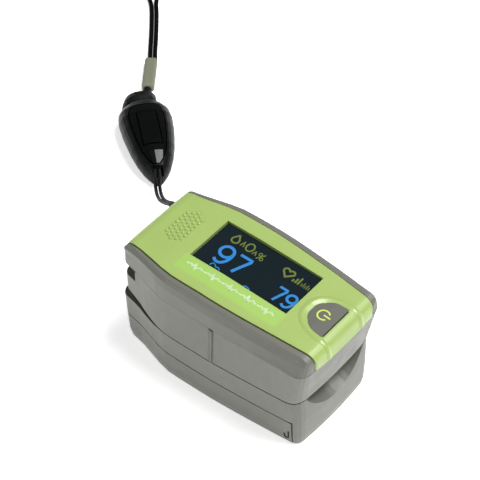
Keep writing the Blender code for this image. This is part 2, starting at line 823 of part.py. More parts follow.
def make_top_cover(finish):
    item = loft("top_cover", cover_levels(0.0), parts, finish)
    boolean(item, below_crown("cover_top", 0.0), "INTERSECT")
    cut(item, below_crown("cover_under", COVER_SKIN))
    window = box(
        "window_hole",
        (WINDOW_X - WINDOW_LENGTH / 2, WINDOW_Y - WINDOW_WIDTH / 2, SEAM_Z),
        (WINDOW_X + WINDOW_LENGTH / 2, WINDOW_Y + WINDOW_WIDTH / 2, TOP_Z + 2 * MM),
        cutters,
    )
    hole = plate(
        "button_hole",
        button_outline(GAP),
        12 * MM,
        cutters,
        place=Matrix.Translation((0, 0, TOP_Z - 3 * MM)),
    )
    return cut(item, window, hole)


def module_span(grow=0.0):
    half_x = WINDOW_LENGTH / 2 + MODULE_MARGIN + grow
    half_y = WINDOW_WIDTH / 2 + MODULE_MARGIN + grow
    return (WINDOW_X - half_x, WINDOW_X + half_x), (WINDOW_Y - half_y, WINDOW_Y + half_y)


def make_display(lens_finish, glass_finish, foam_finish):
    """Lens, gasket and module all lie along the crown's slope."""
    half_x = WINDOW_LENGTH / 2 - GAP
    half_y = WINDOW_WIDTH / 2 - GAP
    lens_top = TOP_Z - LENS_DROP
    lens_low = lens_top - 0.9 * MM
    lens = box(
        "display_lens",
        (WINDOW_X - half_x, WINDOW_Y - half_y, lens_low),
        (WINDOW_X + half_x, WINDOW_Y + half_y, lens_top),
        parts,
        lens_finish,
    )
    follow_crown(lens)
    (low_x, high_x), (low_y, high_y) = module_span()
    foam_top = TOP_Z - COVER_SKIN - GAP
    foam = box(
        "display_gasket",
        (low_x, low_y, foam_top - 0.9 * MM),
        (high_x, high_y, foam_top),
        parts,
        foam_finish,
    )
    hole = box(
        "gasket_hole",
        (WINDOW_X - half_x - GAP, WINDOW_Y - half_y - GAP, SEAM_Z),
        (WINDOW_X + half_x + GAP, WINDOW_Y + half_y + GAP, TOP_Z),
        cutters,
    )
    cut(follow_crown(foam), hole)
    module_top = foam_top - 0.9 * MM - GAP
    module = box(
        "display_module",
        (low_x, low_y, module_top - 1.4 * MM),
        (high_x, high_y, module_top),
        parts,
        glass_finish,
    )
    follow_crown(module)


def make_button(finish):
    """The key, with a stem that reaches down to the switch."""
    middle = FRONT_X - BUTTON_FRONT - BUTTON_LENGTH / 2
    top = crown_z(middle) + 0.1 * MM
    low = top - 2.2 * MM
    item = plate(
        "power_button",
        button_outline(),
        top - low,
        parts,
        finish,
        place=Matrix.Translation((0, 0, (top + low) / 2)),
    )
    slope = Matrix.Translation((middle, 0, top)) @ Matrix.Rotation(math.radians(5), 4, "Y")
    above = box("button_slope", (-20 * MM, -20 * MM, 0), (20 * MM, 20 * MM, 10 * MM), cutters)
    above.data.transform(slope)
    cut(item, above)
    switch_top = board_top() + 1.9 * MM
    stem_low = switch_top + GAP + BUTTON_TRAVEL
    stem = cylinder(
        "button_stem", (middle, 0, stem_low), (middle, 0, low + 0.5 * MM), 1.2 * MM, cutters, sides=16
    )
    join(item, stem)
    return item


def board_top():
    return BOARD_Z + BOARD_THICK


def make_electronics(board, dark, metal):
    middle = FRONT_X - BUTTON_FRONT - BUTTON_LENGTH / 2
    rear = REAR_X + 14.6 * MM
    front = FRONT_X - 5.2 * MM
    box("main_board", (rear, -BOARD_HALF, BOARD_Z), (front, BOARD_HALF, board_top()), parts, board)
    over = board_top() + GAP
    under = BOARD_Z - GAP
    switch = box(
        "tact_switch",
        (middle - 2 * MM, -2 * MM, over),
        (middle + 2 * MM, 2 * MM, over + 1.0 * MM),
        parts,
        metal,
    )
    plunger = cylinder(
        "switch_plunger", (middle, 0, over), (middle, 0, over + 1.6 * MM), 0.9 * MM, cutters, sides=16
    )
    join(switch, plunger)
    box("processor_chip", (-7 * MM, -3.5 * MM, over), (0, 3.5 * MM, over + 1.0 * MM), parts, dark)
    connector_x = CHANNEL_REAR_X - 2.6 * MM
    box(
        "ribbon_connector",
        (connector_x, -2.4 * MM, under - CONNECTOR_HIGH),
        (connector_x + 2.6 * MM, 2.4 * MM, under),
        parts,
        dark,
    )
    box(
        "emitter_board",
        (SENSOR_X - 3.5 * MM, -3 * MM, ROOF_TOP + GAP),
        (SENSOR_X + 3.5 * MM, 3 * MM, ROOF_TOP + GAP + 0.6 * MM),
        parts,
        board,
    )


def make_sensors(lens, board, dark):
    low = ROOF_Z - 0.1 * MM
    cylinder("led_emitter", (SENSOR_X, 0, low), (SENSOR_X, 0, ROOF_TOP), 1.8 * MM, parts, lens)
    arch_top = PARTING_Z + ROOF_ARCH_RISE + GAP
    half = 2.7 * MM
    box("emitter_lens", (SENSOR_X - half, -half, arch_top), (SENSOR_X + half, half, low - GAP), parts, lens)
    pad_low = DECK_TOP + GAP
    box(
        "sensor_lens",
        (SENSOR_X - half, -half, pad_low),
        (SENSOR_X + half, half, pad_low + 0.6 * MM),
        parts,
        lens,
    )
    box(
        "photodiode",
        (SENSOR_X - 1.5 * MM, -1.5 * MM, BAY_TOP),
        (SENSOR_X + 1.5 * MM, 1.5 * MM, DECK_TOP),
        parts,
        dark,
    )
    top = BAY_TOP - GAP
    box(
        "sensor_board",
        (SENSOR_X - 4 * MM, -1.7 * MM, top - 0.7 * MM),
        (SENSOR_X + 4 * MM, 1.7 * MM, top),
        parts,
        board,
    )


def make_ribbon(finish):
    """From the sensor board back between the cells, and up behind the channel to the main board's connector."""
    half = 0.12 * MM
    bend = 1.5 * MM
    z = BAY_TOP - GAP - 0.35 * MM
    x = CHANNEL_REAR_X - 1.3 * MM
    line = [(SENSOR_X - 4 * MM - GAP, 0, z), (x + bend, 0, z)]
    line += corner(line[-1], (x, 0, z), (x, 0, z + bend), 6)
    line += [(x, 0, z + bend), (x, 0, BOARD_Z - 2 * GAP - CONNECTOR_HIGH)]
    line = [Vector(p) for p in line]
    points = [(p.x, p.z) for p in moved(line, half)]
    points += [(p.x, p.z) for p in reversed(moved(line, -half))]
    side_plate("flex_ribbon", points, -1.5 * MM, 1.5 * MM, parts, finish)


def make_pads(finish):
    reach = HALF - PAD_EDGE
    front = BAY_FRONT_X + 0.2 * MM
    lower = box(
        "lower_finger_pad",
        (CHANNEL_REAR_X, -reach, DECK_TOP + GAP),
        (front, reach, PARTING_Z - GAP / 2),
        parts,
        finish,
    )
    bottom = PARTING_Z - GAP / 2 - TROUGH_DEPTH
    radius = (MOUTH_HALF**2 + MOUTH_DEPTH**2) / (2 * MOUTH_DEPTH)
    trough = cylinder(
        "trough",
        (CHANNEL_REAR_X + 1.2 * MM, 0, bottom + radius),
        (2 * FRONT_X, 0, bottom + radius),
        radius,
        cutters,
        sides=64,
    )
    half = 2.7 * MM + GAP
    eye = box("sensor_eye", (SENSOR_X - half, -half, DECK_TOP), (SENSOR_X + half, half, PARTING_Z), cutters)
    cut(lower, trough, eye, mouth_cutter_for_pad())
    low = PARTING_Z + GAP
    high = ROOF_Z - GAP
    form = loft("pad_form", [(z, WALL + GAP, LIP_BACK + 0.3 * MM, 1.1 * MM) for z in (low, high)], cutters)
    upper = box("upper_finger_pad", (CHANNEL_REAR_X, -reach, 0), (FRONT_X, reach, TOP_Z), parts, finish)
    boolean(upper, form, "INTERSECT")
    top = PARTING_Z + ROOF_ARCH_RISE
    radius = (ROOF_ARCH_HALF**2 + ROOF_ARCH_RISE**2) / (2 * ROOF_ARCH_RISE)
    arch = cylinder(
        "arch",
        (CHANNEL_REAR_X + 1.2 * MM, 0, top - radius),
        (2 * FRONT_X, 0, top - radius),
        radius,
        cutters,
        sides=64,
    )
    eye = box("emitter_eye", (SENSOR_X - half, -half, PARTING_Z), (SENSOR_X + half, half, TOP_Z), cutters)
    cut(upper, arch, eye)
    for number, (x, y) in enumerate(screw_places()[:2]):
        low_end = (x, y, screw_head_low() - 0.5 * MM)
        room = cylinder(
            f"head_room_{number}", low_end, (x, y, TOP_Z), HEAD_RADIUS + 2 * GAP, cutters, sides=20
        )
        cut(upper, room)


def mouth_cutter_for_pad():
    item = mouth_cutter()
    item.name = "mouth_for_pad"
    return item


def screw_head_low():
    return ROOF_Z - GAP - 1.0 * MM


def make_screws(finish):
    names = (
        "case_screw_front_left", "case_screw_front_right", "case_screw_rear_left", "case_screw_rear_right"
    )
    for name, (x, y) in zip(names, screw_places()):
        head_low = screw_head_low()
        head = cylinder(name, (x, y, head_low), (x, y, ROOF_Z - GAP), HEAD_RADIUS, parts, finish, sides=20)
        shank = cylinder(
            name + "_shank",
            (x, y, head_low + 0.5 * MM),
            (x, y, SEAM_Z + 0.6 * MM),
            SHANK_RADIUS,
            cutters,
            sides=12,
        )
        join(head, shank)


def make_hinge(steel, spring_steel):
    reach = UPPER_EAR_Y + EAR_THICK + 0.4 * MM
    cylinder("hinge_pin", (HINGE_X, -reach, HINGE_Z), (HINGE_X, reach, HINGE_Z), PIN_RADIUS, parts, steel)
    for name, side in (("torsion_spring_left", -1), ("torsion_spring_right", 1)):
        tube(name, spring_path(side), 2 * SPRING_WIRE, parts, spring_steel)


def spring_path(side):
    """Coils round the pin: one arm runs back over the deck, the other under the display half's roof."""
    whole = 2 * math.pi * SPRING_TURNS + math.pi
    outer, inner = SPRING_Y[1] * side, SPRING_Y[0] * side
    rest = DECK_TOP + GAP + SPRING_WIRE + 0.1 * MM
    points = [Vector((HINGE_X - SPRING_ARM, outer, rest))]
    steps = 10 * SPRING_TURNS + 5
    for step in range(steps + 1):
        angle = whole * step / steps
        y = outer + (inner - outer) * step / steps
        points.append(
            Vector((HINGE_X + SPRING_COIL * math.sin(angle), y, HINGE_Z - SPRING_COIL * math.cos(angle)))
        )
    points.append(Vector((HINGE_X - SPRING_ARM, inner, HINGE_Z + SPRING_COIL + 0.2 * MM)))
    return points


def make_cells(finish, metal, spring_steel):
    for name, side in (("left", -1), ("right", 1)):
        y = side * CELL_Y
        nub_front = side > 0
        low, high = CELL_REAR_X, CELL_FRONT_X
        body = (low, high - CELL_NUB) if nub_front else (low + CELL_NUB, high)
        cell = cylinder(
            f"battery_cell_{name}",
            (body[0], y, CELL_Z),
            (body[1], y, CELL_Z),
            CELL_DIAMETER / 2,
            parts,
            finish,
            sides=32,
        )
        join(
            cell,
            cylinder(
                f"cell_nub_{name}",
                (low if not nub_front else high - 2 * MM, y, CELL_Z),
                (low + 2 * MM if not nub_front else high, y, CELL_Z),
                1.9 * MM,
                cutters,
                sides=20,
            ),
        )
        tab_y = sorted((side * 1.5 * MM, side * (CELL_Y + 4.0 * MM)))
        box(
            f"contact_tab_{name}",
            (BAY_REAR_X + GAP, tab_y[0], 3 * MM),
            (BAY_REAR_X + GAP + TAB_THICK, tab_y[1], CELL_Z + 4 * MM),
            parts,
            metal,
        )
        tube(f"contact_spring_{name}", contact_spring(y), 0.5 * MM, parts, spring_steel)
    plate_x = CELL_FRONT_X + GAP
    box(
        "contact_bridge",
        (plate_x, -9.3 * MM, 3 * MM),
        (plate_x + BRIDGE_THICK, 9.3 * MM, CELL_Z + 4 * MM),
        parts,
        metal,
    )


def contact_spring(y):
    start = BAY_REAR_X + 2 * GAP + TAB_THICK + 0.25 * MM
    end = CELL_REAR_X - GAP - 0.25 * MM
    steps = 30
    points = []
    for step in range(steps + 1):
        share = step / steps
        radius = (3.0 - 1.3 * share) * MM
        angle = 2 * math.pi * 3 * share
        points.append(
            Vector(
                (
                    start + (end - start) * share,
                    y + radius * math.cos(angle),
                    CELL_Z + radius * math.sin(angle),
                )
            )
        )
    return points


def loop_strands():
    """The loop's two strands side by side, each as its part at the post and its part beyond the split."""
    middle = through(LOOP_ROUTE, 3)
    strands = []
    for side in (1, -1):
        strand = []
        for index, point in enumerate(middle):
            before = middle[max(index - 1, 0)]
            after = middle[min(index + 1, len(middle) - 1)]
            run = (after - before).to_2d().normalized()
            strand.append(point + Vector((-run.y, run.x, 0)) * side * LOOP_SPREAD)
        strands.append((strand[: LOOP_SPLIT + 1], strand[LOOP_SPLIT:]))
    return strands


def trimmed(points, distance):
    """A line with that much taken off its start."""
    run = (points[1] - points[0]).normalized()
    return [points[0] + run * distance] + points[1:]


def make_lanyard_loop(finish):
    """One thin cord from the buckle round the post and back. Its bight moves with the display half."""
    (first_near, first_far), (second_near, second_far) = loop_strands()
    reach = POST_RADIUS + GAP + LOOP_DIAMETER / 2
    height = LOOP_ROUTE[0][2]
    low, high = LOOP_BEND
    bend = []
    for step in range(12):
        angle = math.radians(low + (high - low) * step / 11)
        bend.append(Vector((POST_X + reach * math.cos(angle), POST_Y + reach * math.sin(angle), height)))
    tube("lanyard_bight", list(reversed(first_near)) + bend + second_near, LOOP_DIAMETER, parts, finish)
    tube("lanyard_strand_left", trimmed(first_far, LOOP_GAP), LOOP_DIAMETER, parts, finish)
    tube("lanyard_strand_right", trimmed(second_far, LOOP_GAP), LOOP_DIAMETER, parts, finish)


def buckle_place():
    return Matrix.Translation(BUCKLE_TIP) @ Matrix.Rotation(BUCKLE_TURN, 4, "Z")


def placed(item, place):
    item.data.transform(place)
    return item


def buckle_ring(along, half, height, sides=BUCKLE_SIDES):
    """One cross section of the buckle: a flat underside, round flanks and a shallow top."""
    ring = []
    for step in range(sides):
        angle = 2 * math.pi * step / sides
        across = half * math.copysign(abs(math.cos(angle)) ** 0.85, math.cos(angle))
        up = math.sin(angle)
        middle = 0.45 * height
        z = middle + up * (height - middle if up > 0 else middle)
        ring.append((along, across, max(z, 0.02)))
    return ring


def stacked(name, rings, group, finish=None):
    """A solid through rings of the same number of points, in millimetres, closed flat at both ends."""
    shape = bmesh.new()
    rows = [[shape.verts.new(Vector(p) * MM) for p in ring] for ring in rings]
    for low, high in zip(rows, rows[1:]):
        for index in range(len(low)):
            after = (index + 1) % len(low)
            shape.faces.new((low[index], low[after], high[after], high[index]))
    shape.faces.new(reversed(rows[0]))
    shape.faces.new(rows[-1])
    item = from_bmesh(name, shape, group, finish)
    item.data.shade_smooth()
    item.data.set_sharp_from_angle(angle=math.radians(40))
    return item


def inlay_outline(grow=0.0):
    """The glossy panel set in the buckle's top, from above: a drop shape with its tip towards the cord."""
    points = [(INLAY_START + x * MM, half * MM + grow) for x, half in INLAY_HALVES]
    points[0] = (points[0][0] - grow, points[0][1])
    points[-1] = (points[-1][0] + grow, points[-1][1])
    return points + [(x, -y) for x, y in reversed(points)]


def buckle_form(name, rise, group=None, finish=None):
    """The buckle's whole shape with its top moved up by rise."""
    rings = [buckle_ring(along, half, top + rise / MM) for along, half, top in BUCKLE_STATIONS]
    return placed(stacked(name, rings, group or cutters, finish), buckle_place())


def panel_box(name, low, high, grow, group, finish=None):
    """The buckle's press panel, or the well it moves in."""
    long_half = PANEL[0] / 2 + grow
    wide_half = PANEL[1] / 2 + grow
    start = (PANEL_MIDDLE - long_half, -wide_half, low)
    return placed(
        box(name, start, (PANEL_MIDDLE + long_half, wide_half, high), group, finish), buckle_place()
    )


def make_buckle(gloss, soft):
    local = buckle_place()
    height = max(top for along, half, top in BUCKLE_STATIONS) * MM
    well_low = height - 3.4 * MM
    prism = local @ Matrix.Translation((0, 0, height))
    seat = plate("inlay_seat", inlay_outline(GAP), 14 * MM, cutters, place=prism)
    cut(seat, buckle_form("seat_floor", -INLAY_DEPTH - GAP))
    low = (-2 * MM, -CORD_SLOT, CORD_SLOT_LOW)
    slot = placed(box("cord_slot", low, (CORD_SLOT_END, CORD_SLOT, 0.03), cutters), local)
    body = buckle_form("buckle_body", 0.0, parts, soft)
    cut(body, seat, slot, panel_box("panel_well", well_low, 0.03, GAP, cutters))
    inlay = plate("buckle_inlay", inlay_outline(), 14 * MM, parts, gloss, prism)
    boolean(inlay, buckle_form("inlay_top", INLAY_PROUD), "INTERSECT")
    cut(
        inlay,
        buckle_form("inlay_under", -INLAY_DEPTH),
        panel_box("inlay_well", well_low, 0.03, GAP, cutters),
    )
    button = panel_box("buckle_button", well_low + GAP + PANEL_TRAVEL, 0.03, 0.0, parts, gloss)
    boolean(button, buckle_form("button_top", 2 * INLAY_PROUD), "INTERSECT")
    make_buckle_cap(local, soft)


def make_buckle_cap(local, soft):
    """The strap's half of the buckle, which the body plugs into."""
    start = BUCKLE_STATIONS[-1][0] * MM + GAP
    low_y, high_y = CAP_SIDES
    middle = (low_y + high_y) / 2 / MM
    half = (high_y - low_y) / 2 / MM
    rings = []
    for share, width, top in (
        (0.0, 1.0, 0.96), (0.3, 1.0, 1.0), (0.7, 0.93, 0.93), (0.92, 0.78, 0.78), (1.0, 0.62, 0.62)
    ):
        along = (start + CAP_LENGTH * share) / MM
        ring = buckle_ring(along, half * width, CAP_HEIGHT * top / MM, 24)
        rings.append([(x, y + middle - 1.2 * share, z) for x, y, z in ring])
    cap = placed(stacked("buckle_cap", rings, parts, soft), local)
    low = local @ Vector((start + CAP_LENGTH - 1.5 * MM, -0.3 * MM, 1.6 * MM))
    run = Matrix.Rotation(SLEEVE_TURN, 4, "Z") @ Vector((1, 0, 0))
    neck_end = SLEEVE_START - run * GAP + Vector((0, 0, 1.45 * MM))
    join(cap, cylinder("cap_neck", low, neck_end, 1.2 * MM, cutters, sides=16))


def sleeve_end():
    return SLEEVE_START + Matrix.Rotation(SLEEVE_TURN, 4, "Z") @ Vector((SLEEVE_SIZE[0], 0, 0))


def strap_place():
    """The frame that the strap's route is given in: its origin is the far end of the sleeve."""
    return Matrix.Translation(sleeve_end()) @ Matrix.Rotation(STRAP_TURN, 4, "Z")


def strap_strand(side):
    """One of the strap's two strands, side by side on the floor until they part towards the coil."""
    height = STRAP_DIAMETER / 2 + 0.05 * MM
    line = [(x, y + side * spread, height) for x, y, spread in STRAP_ROUTE]
    return [strap_place() @ p for p in through(line, 2)]


def make_strap(sleeve_finish, weave, tie_finish):
    length, width, height = SLEEVE_SIZE
    turned = Matrix.Translation(sleeve_end()) @ Matrix.Rotation(SLEEVE_TURN, 4, "Z")
    sleeve = placed(
        box("strap_sleeve", (-length, -width / 2, 0.05 * MM), (0, width / 2, height), parts, sleeve_finish),
        turned,
    )
    bevel(sleeve, 0.8 * MM, 3)
    for name, side in (("strap_run_left", 1), ("strap_run_right", -1)):
        tube(name, strap_strand(side), STRAP_DIAMETER, parts, weave)
    local = strap_place()
    coil = coil_ring(local, weave)
    low, high, thick = TIE_WIDTH / 2, COIL_HEIGHT + GAP, TIE_THICK
    far = COIL_AHEAD + COIL_INNER - GAP
    out = COIL_AHEAD + COIL_OUTER + GAP
    tie = placed(
        box(
            "coil_tie", (far - thick, -low, 0.05 * MM), (out + thick, low, high + thick), parts, tie_finish
        ),
        local,
    )
    inside = placed(
        box("tie_inside", (far, -2 * low, thick + 0.05 * MM), (out, 2 * low, high), cutters), local
    )
    cut(tie, inside)
    squeeze = placed(
        box(
            "coil_squeeze",
            (far - 1 * MM, -low - GAP, -0.01),
            (out + 1 * MM, low + GAP, thick + 0.05 * MM + GAP),
            cutters,
        ),
        local,
    )
    cut(coil, squeeze)


def coil_ring(local, finish):
    """The space that the wound strap fills: a turned ring."""
    profile = (
        (COIL_OUTER, COIL_HEIGHT - 1 * MM),
        (COIL_OUTER, 1 * MM),
        (COIL_OUTER - 1 * MM, 0.05 * MM),
        (COIL_INNER + 1 * MM, 0.05 * MM),
        (COIL_INNER, 1 * MM),
        (COIL_INNER, COIL_HEIGHT - 1 * MM),
        (COIL_INNER + 1 * MM, COIL_HEIGHT),
        (COIL_OUTER - 1 * MM, COIL_HEIGHT),
    )
    shape = bmesh.new()
    verts = [shape.verts.new((x, 0, z)) for x, z in profile]
    for a, b in zip(verts, verts[1:] + verts[:1]):
        shape.edges.new((a, b))
    mesh = bpy.data.meshes.new("strap_coil")
    shape.to_mesh(mesh)
    shape.free()
    item = put(bpy.data.objects.new("strap_coil", mesh), parts, finish)
    item.location = local @ Vector((COIL_AHEAD, 0, 0))
    turn = item.modifiers.new("turn", "SCREW")
    turn.steps = 40
    turn.render_steps = 40
    turn.use_merge_vertices = True
    turn.merge_threshold = 0.00005
    return item


def set_origin(item, point):
    """Puts an object's origin on its joint's axis, with its mesh left in place."""
    point = Vector(point)
    item.data.transform(Matrix.Translation(-point))
    item.location = point


def build():
    global parts, cutters
    clear_scene()
    parts = new_collection("fingertip_pulse_oximeter")
    cutters = new_collection("cutters", hidden=True)
    grey = material("warm_grey_plastic", (0.23, 0.235, 0.205), 0.45)
    green = material("green_gloss_plastic", (0.45, 0.62, 0.18), 0.2)
    key = material("key_rubber", (0.2, 0.205, 0.18), 0.55)
    clear = material("clear_lens", (0.02, 0.025, 0.03), 0.05)
    glass = material("display_glass", (0.01, 0.012, 0.014), 0.1)
    foam = material("black_foam", (0.02, 0.02, 0.02), 0.9)
    pad = material("pad_silicone", (0.05, 0.05, 0.05), 0.6)
    board = material("circuit_board", (0.02, 0.16, 0.07), 0.4)
    chip = material("chip_black", (0.015, 0.015, 0.015), 0.35)
    tin = material("tinned_contact", (0.75, 0.74, 0.7), 0.3, 1.0)
    steel = material("spring_steel", (0.55, 0.55, 0.56), 0.3, 1.0)
    amber = material("ribbon_amber", (0.5, 0.22, 0.04), 0.35)
    wrap = material("cell_wrap", (0.03, 0.08, 0.3), 0.3)
    gloss_black = material("buckle_gloss", (0.008, 0.008, 0.008), 0.12)
    soft_black = material("cap_black", (0.01, 0.01, 0.01), 0.5)
    cord = material("cord_black", (0.008, 0.008, 0.008), 0.3)
    weave = material("strap_weave", (0.01, 0.01, 0.01), 0.9)
    sleeve = material("sleeve_grey", (0.27, 0.28, 0.22), 0.5)

    make_lower_housing(grey)
    make_battery_cover(grey)
    base = make_upper_base(grey)
    make_top_shell(grey)
    make_top_cover(green)
    make_display(clear, glass, foam)
    button = make_button(key)
    make_electronics(board, chip, tin)
    make_sensors(clear, board, chip)
    make_ribbon(amber)
    make_pads(pad)
    make_screws(steel)
    make_hinge(steel, steel)
    make_cells(wrap, tin, steel)
    make_lanyard_loop(cord)
    make_buckle(gloss_black, soft_black)
    make_strap(sleeve, weave, soft_black)
    set_origin(base, (HINGE_X, 0, HINGE_Z))
    set_origin(button, (FRONT_X - BUTTON_FRONT - BUTTON_LENGTH / 2, 0, TOP_Z))


build()
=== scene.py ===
# %% [markdown]
# # A fingertip pulse oximeter on a pale floor
# The body is a spring clamp in two halves: a battery half below, a display half above,
# joined by a pin near the rear. Its solids are already built and packed. This lesson adds
# what the eye judges: finishes, the picture on the display, the raised dots and ridge of
# the green cover, and the neck lanyard with its wound strap.

import math

import bmesh
import bpy
from mathutils import Matrix, Vector
from mathutils.bvhtree import BVHTree


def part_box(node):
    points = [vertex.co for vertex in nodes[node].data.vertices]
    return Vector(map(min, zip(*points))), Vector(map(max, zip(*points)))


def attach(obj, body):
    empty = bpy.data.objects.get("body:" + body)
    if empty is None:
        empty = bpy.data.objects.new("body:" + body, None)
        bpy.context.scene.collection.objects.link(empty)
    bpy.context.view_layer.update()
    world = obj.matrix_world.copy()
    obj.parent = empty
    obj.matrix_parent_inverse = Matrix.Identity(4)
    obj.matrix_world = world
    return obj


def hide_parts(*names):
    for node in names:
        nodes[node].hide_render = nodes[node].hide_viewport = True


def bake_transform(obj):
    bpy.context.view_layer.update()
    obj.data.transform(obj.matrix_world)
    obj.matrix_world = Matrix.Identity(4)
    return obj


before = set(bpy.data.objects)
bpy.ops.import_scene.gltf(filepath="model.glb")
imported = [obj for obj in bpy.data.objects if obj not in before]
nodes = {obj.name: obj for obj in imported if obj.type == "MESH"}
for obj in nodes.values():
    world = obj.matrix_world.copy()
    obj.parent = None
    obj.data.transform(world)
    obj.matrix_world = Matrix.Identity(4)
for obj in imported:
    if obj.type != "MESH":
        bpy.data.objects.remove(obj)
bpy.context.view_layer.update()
MM = 0.001

# %% [markdown]
# ## The camera
# A long lens from the front left corner, about as high above the floor as it is far away
# along it. A long lens keeps the body's edges close to parallel, as in a catalogue picture.
# We build the camera's three directions from two angles and a small roll.

# %% Place the camera
AZIMUTH = math.radians(38.357)
ELEVATION = math.radians(45.828)
ROLL = math.radians(0.433)
DISTANCE = 0.4964
AIM = Vector((-0.017546, 0.019683, 0.015))

back = Vector(
    (
        math.sin(AZIMUTH) * math.cos(ELEVATION),
        -math.cos(AZIMUTH) * math.cos(ELEVATION),
        math.sin(ELEVATION),
    )
)
level_right = Vector((math.cos(AZIMUTH), math.sin(AZIMUTH), 0))
level_up = back.cross(level_right)
right = level_right * math.cos(ROLL) + level_up * math.sin(ROLL)
up = back.cross(right)

lens = bpy.data.cameras.new("studio_camera")
lens.sensor_width = 36
lens.lens = 150
lens.clip_start = 0.01
camera = bpy.data.objects.new("studio_camera", lens)
bpy.context.scene.collection.objects.link(camera)
placed = Matrix((right, up, back)).transposed().to_4x4()
placed.translation = AIM + back * DISTANCE
camera.matrix_world = placed
bpy.context.scene.camera = camera
print("camera at", [round(v, 3) for v in placed.translation])


# %% [markdown]
# ## Finishes from nodes
# No two spots of a moulded part are quite the same. Each finish here starts from a
# Principled shader and adds three things at the right scale: a faint drift of colour,
# a drift of roughness, and a fine grain that only tips the normal. Noise textures in
# object space do all three, so a finish needs no unwrapping.

# %% Helpers for finishes
def mixed(colour, factor):
    """A colour made lighter or darker."""
    return (*[min(1.0, c * factor) for c in colour], 1.0)


def noise(tree, scale, detail=3.0):
    """A noise texture in object space."""
    place = tree.nodes.new("ShaderNodeTexCoord")
    texture = tree.nodes.new("ShaderNodeTexNoise")
    texture.inputs["Scale"].default_value = scale
    texture.inputs["Detail"].default_value = detail
    tree.links.new(place.outputs["Object"], texture.inputs["Vector"])
    return texture


def ramp(tree, source, stops):
    """A colour ramp fed by a factor."""
    made = tree.nodes.new("ShaderNodeValToRGB")
    while len(made.color_ramp.elements) < len(stops):
        made.color_ramp.elements.new(0.5)
    for element, (position, colour) in zip(made.color_ramp.elements, stops):
        element.position = position
        element.color = colour
    tree.links.new(source, made.inputs["Fac"])
    return made


def finish(name, colour, rough, drift=0.06, grain=(2500.0, 0.15), metal=0.0, **extra):
    """A moulded or metal surface: colour, roughness, and grain as (scale, strength)."""
    made = bpy.data.materials.new(name)
    made.use_nodes = True
    tree = made.node_tree
    shader = tree.nodes["Principled BSDF"]
    shader.inputs["Metallic"].default_value = metal
    for socket, value in extra.items():
        shader.inputs[socket.replace("_", " ")].default_value = value
    broad = noise(tree, 60.0, 4.0)
    tint = ramp(
        tree,
        broad.outputs["Fac"],
        ((0.3, mixed(colour, 1 - drift)), (0.7, mixed(colour, 1 + drift))),
    )
    tree.links.new(tint.outputs["Color"], shader.inputs["Base Color"])
    low, high = rough * 0.88, min(1.0, rough * 1.12)
    gloss = ramp(
        tree,
        noise(tree, 260.0).outputs["Fac"],
        ((0.3, (low,) * 3 + (1,)), (0.7, (high,) * 3 + (1,))),
    )
    tree.links.new(gloss.outputs["Color"], shader.inputs["Roughness"])
    bump = tree.nodes.new("ShaderNodeBump")
    bump.inputs["Strength"].default_value = grain[1]
    bump.inputs["Distance"].default_value = 0.00005
    tree.links.new(noise(tree, grain[0], 2.0).outputs["Fac"], bump.inputs["Height"])
    tree.links.new(bump.outputs["Normal"], shader.inputs["Normal"])
    return made


def dress(names, material):
    """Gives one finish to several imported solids."""
    for name in names:
        nodes[name].data.materials.clear()
        nodes[name].data.materials.append(material)


# %% [markdown]
# ## The housings
# The two halves and the battery cover are a warm grey plastic with a fine satin texture.
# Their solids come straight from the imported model. Real mouldings have no knife edges, so
# a small bevel is added with a modifier, after a planar clean-up of the triangles.

# %% Soften the housings
def soften(name, width, segments=2, angle=38):
    """Rounds a solid's edges with modifiers and shades its curves smooth."""
    item = nodes[name]
    item.data.shade_smooth()
    clean = item.modifiers.new("flat_faces", "DECIMATE")
    clean.decimate_type = "DISSOLVE"
    clean.angle_limit = math.radians(0.6)
    edge = item.modifiers.new("edges", "BEVEL")
    edge.width = width
    edge.segments = segments
    edge.limit_method = "ANGLE"
    edge.angle_limit = math.radians(angle)
    return item


satin_grey = finish("satin_grey", (0.142, 0.145, 0.122), 0.44, 0.04, (3200.0, 0.22))
dress(("lower_housing", "battery_cover", "upper_base", "top_shell"), satin_grey)
for name in ("lower_housing", "battery_cover", "upper_base", "top_shell"):
    soften(name, 0.25 * MM)
gloss_green = finish("gloss_green", (0.33, 0.45, 0.13), 0.34, 0.03, (900.0, 0.03), Coat_Weight=0.12)
dress(("top_cover",), gloss_green)
soften("top_cover", 0.2 * MM)
print("housings dressed")

# %% [markdown]
# ## The key
# A soft rubber key sits in the green cover. It takes a darker, duller grey.

# %% Dress the key and the display
key_rubber = finish("key_rubber", (0.115, 0.118, 0.095), 0.6, 0.04, (4000.0, 0.3))
dress(("power_button",), key_rubber)
soften("power_button", 0.25 * MM, 3)
display_glass = finish(
    "display_glass", (0.006, 0.013, 0.017), 0.12, 0.1, (300.0, 0.0), Specular_IOR_Level=0.35
)
dress(("display_lens", "display_module"), display_glass)

# %% [markdown]
# ## The lanyard's thin loop
# A thin waxed cord leaves the buckle, passes round a post inside the display half and comes
# back beside itself. A cord is a fixed length of something bendy, so we first settle the
# line that it follows and only then give that line a thickness.

# %% Cord helpers
def through(points, steps):
    """A smooth curve through points, with that many steps between each two."""
    points = [Vector(p) for p in points]
    ends = [2 * points[0] - points[1]] + points + [2 * points[-1] - points[-2]]
    made = []
    for a, b, c, d in zip(ends, ends[1:], ends[2:], ends[3:]):
        for step in range(steps):
            t = step / steps
            bent = 2 * b + (c - a) * t + (2 * a - 5 * b + 4 * c - d) * t**2 + (3 * b - a - 3 * c + d) * t**3
            made.append(0.5 * bent)
    return made + [points[-1]]


def length_of(points):
    return sum((b - a).length for a, b in zip(points, points[1:]))


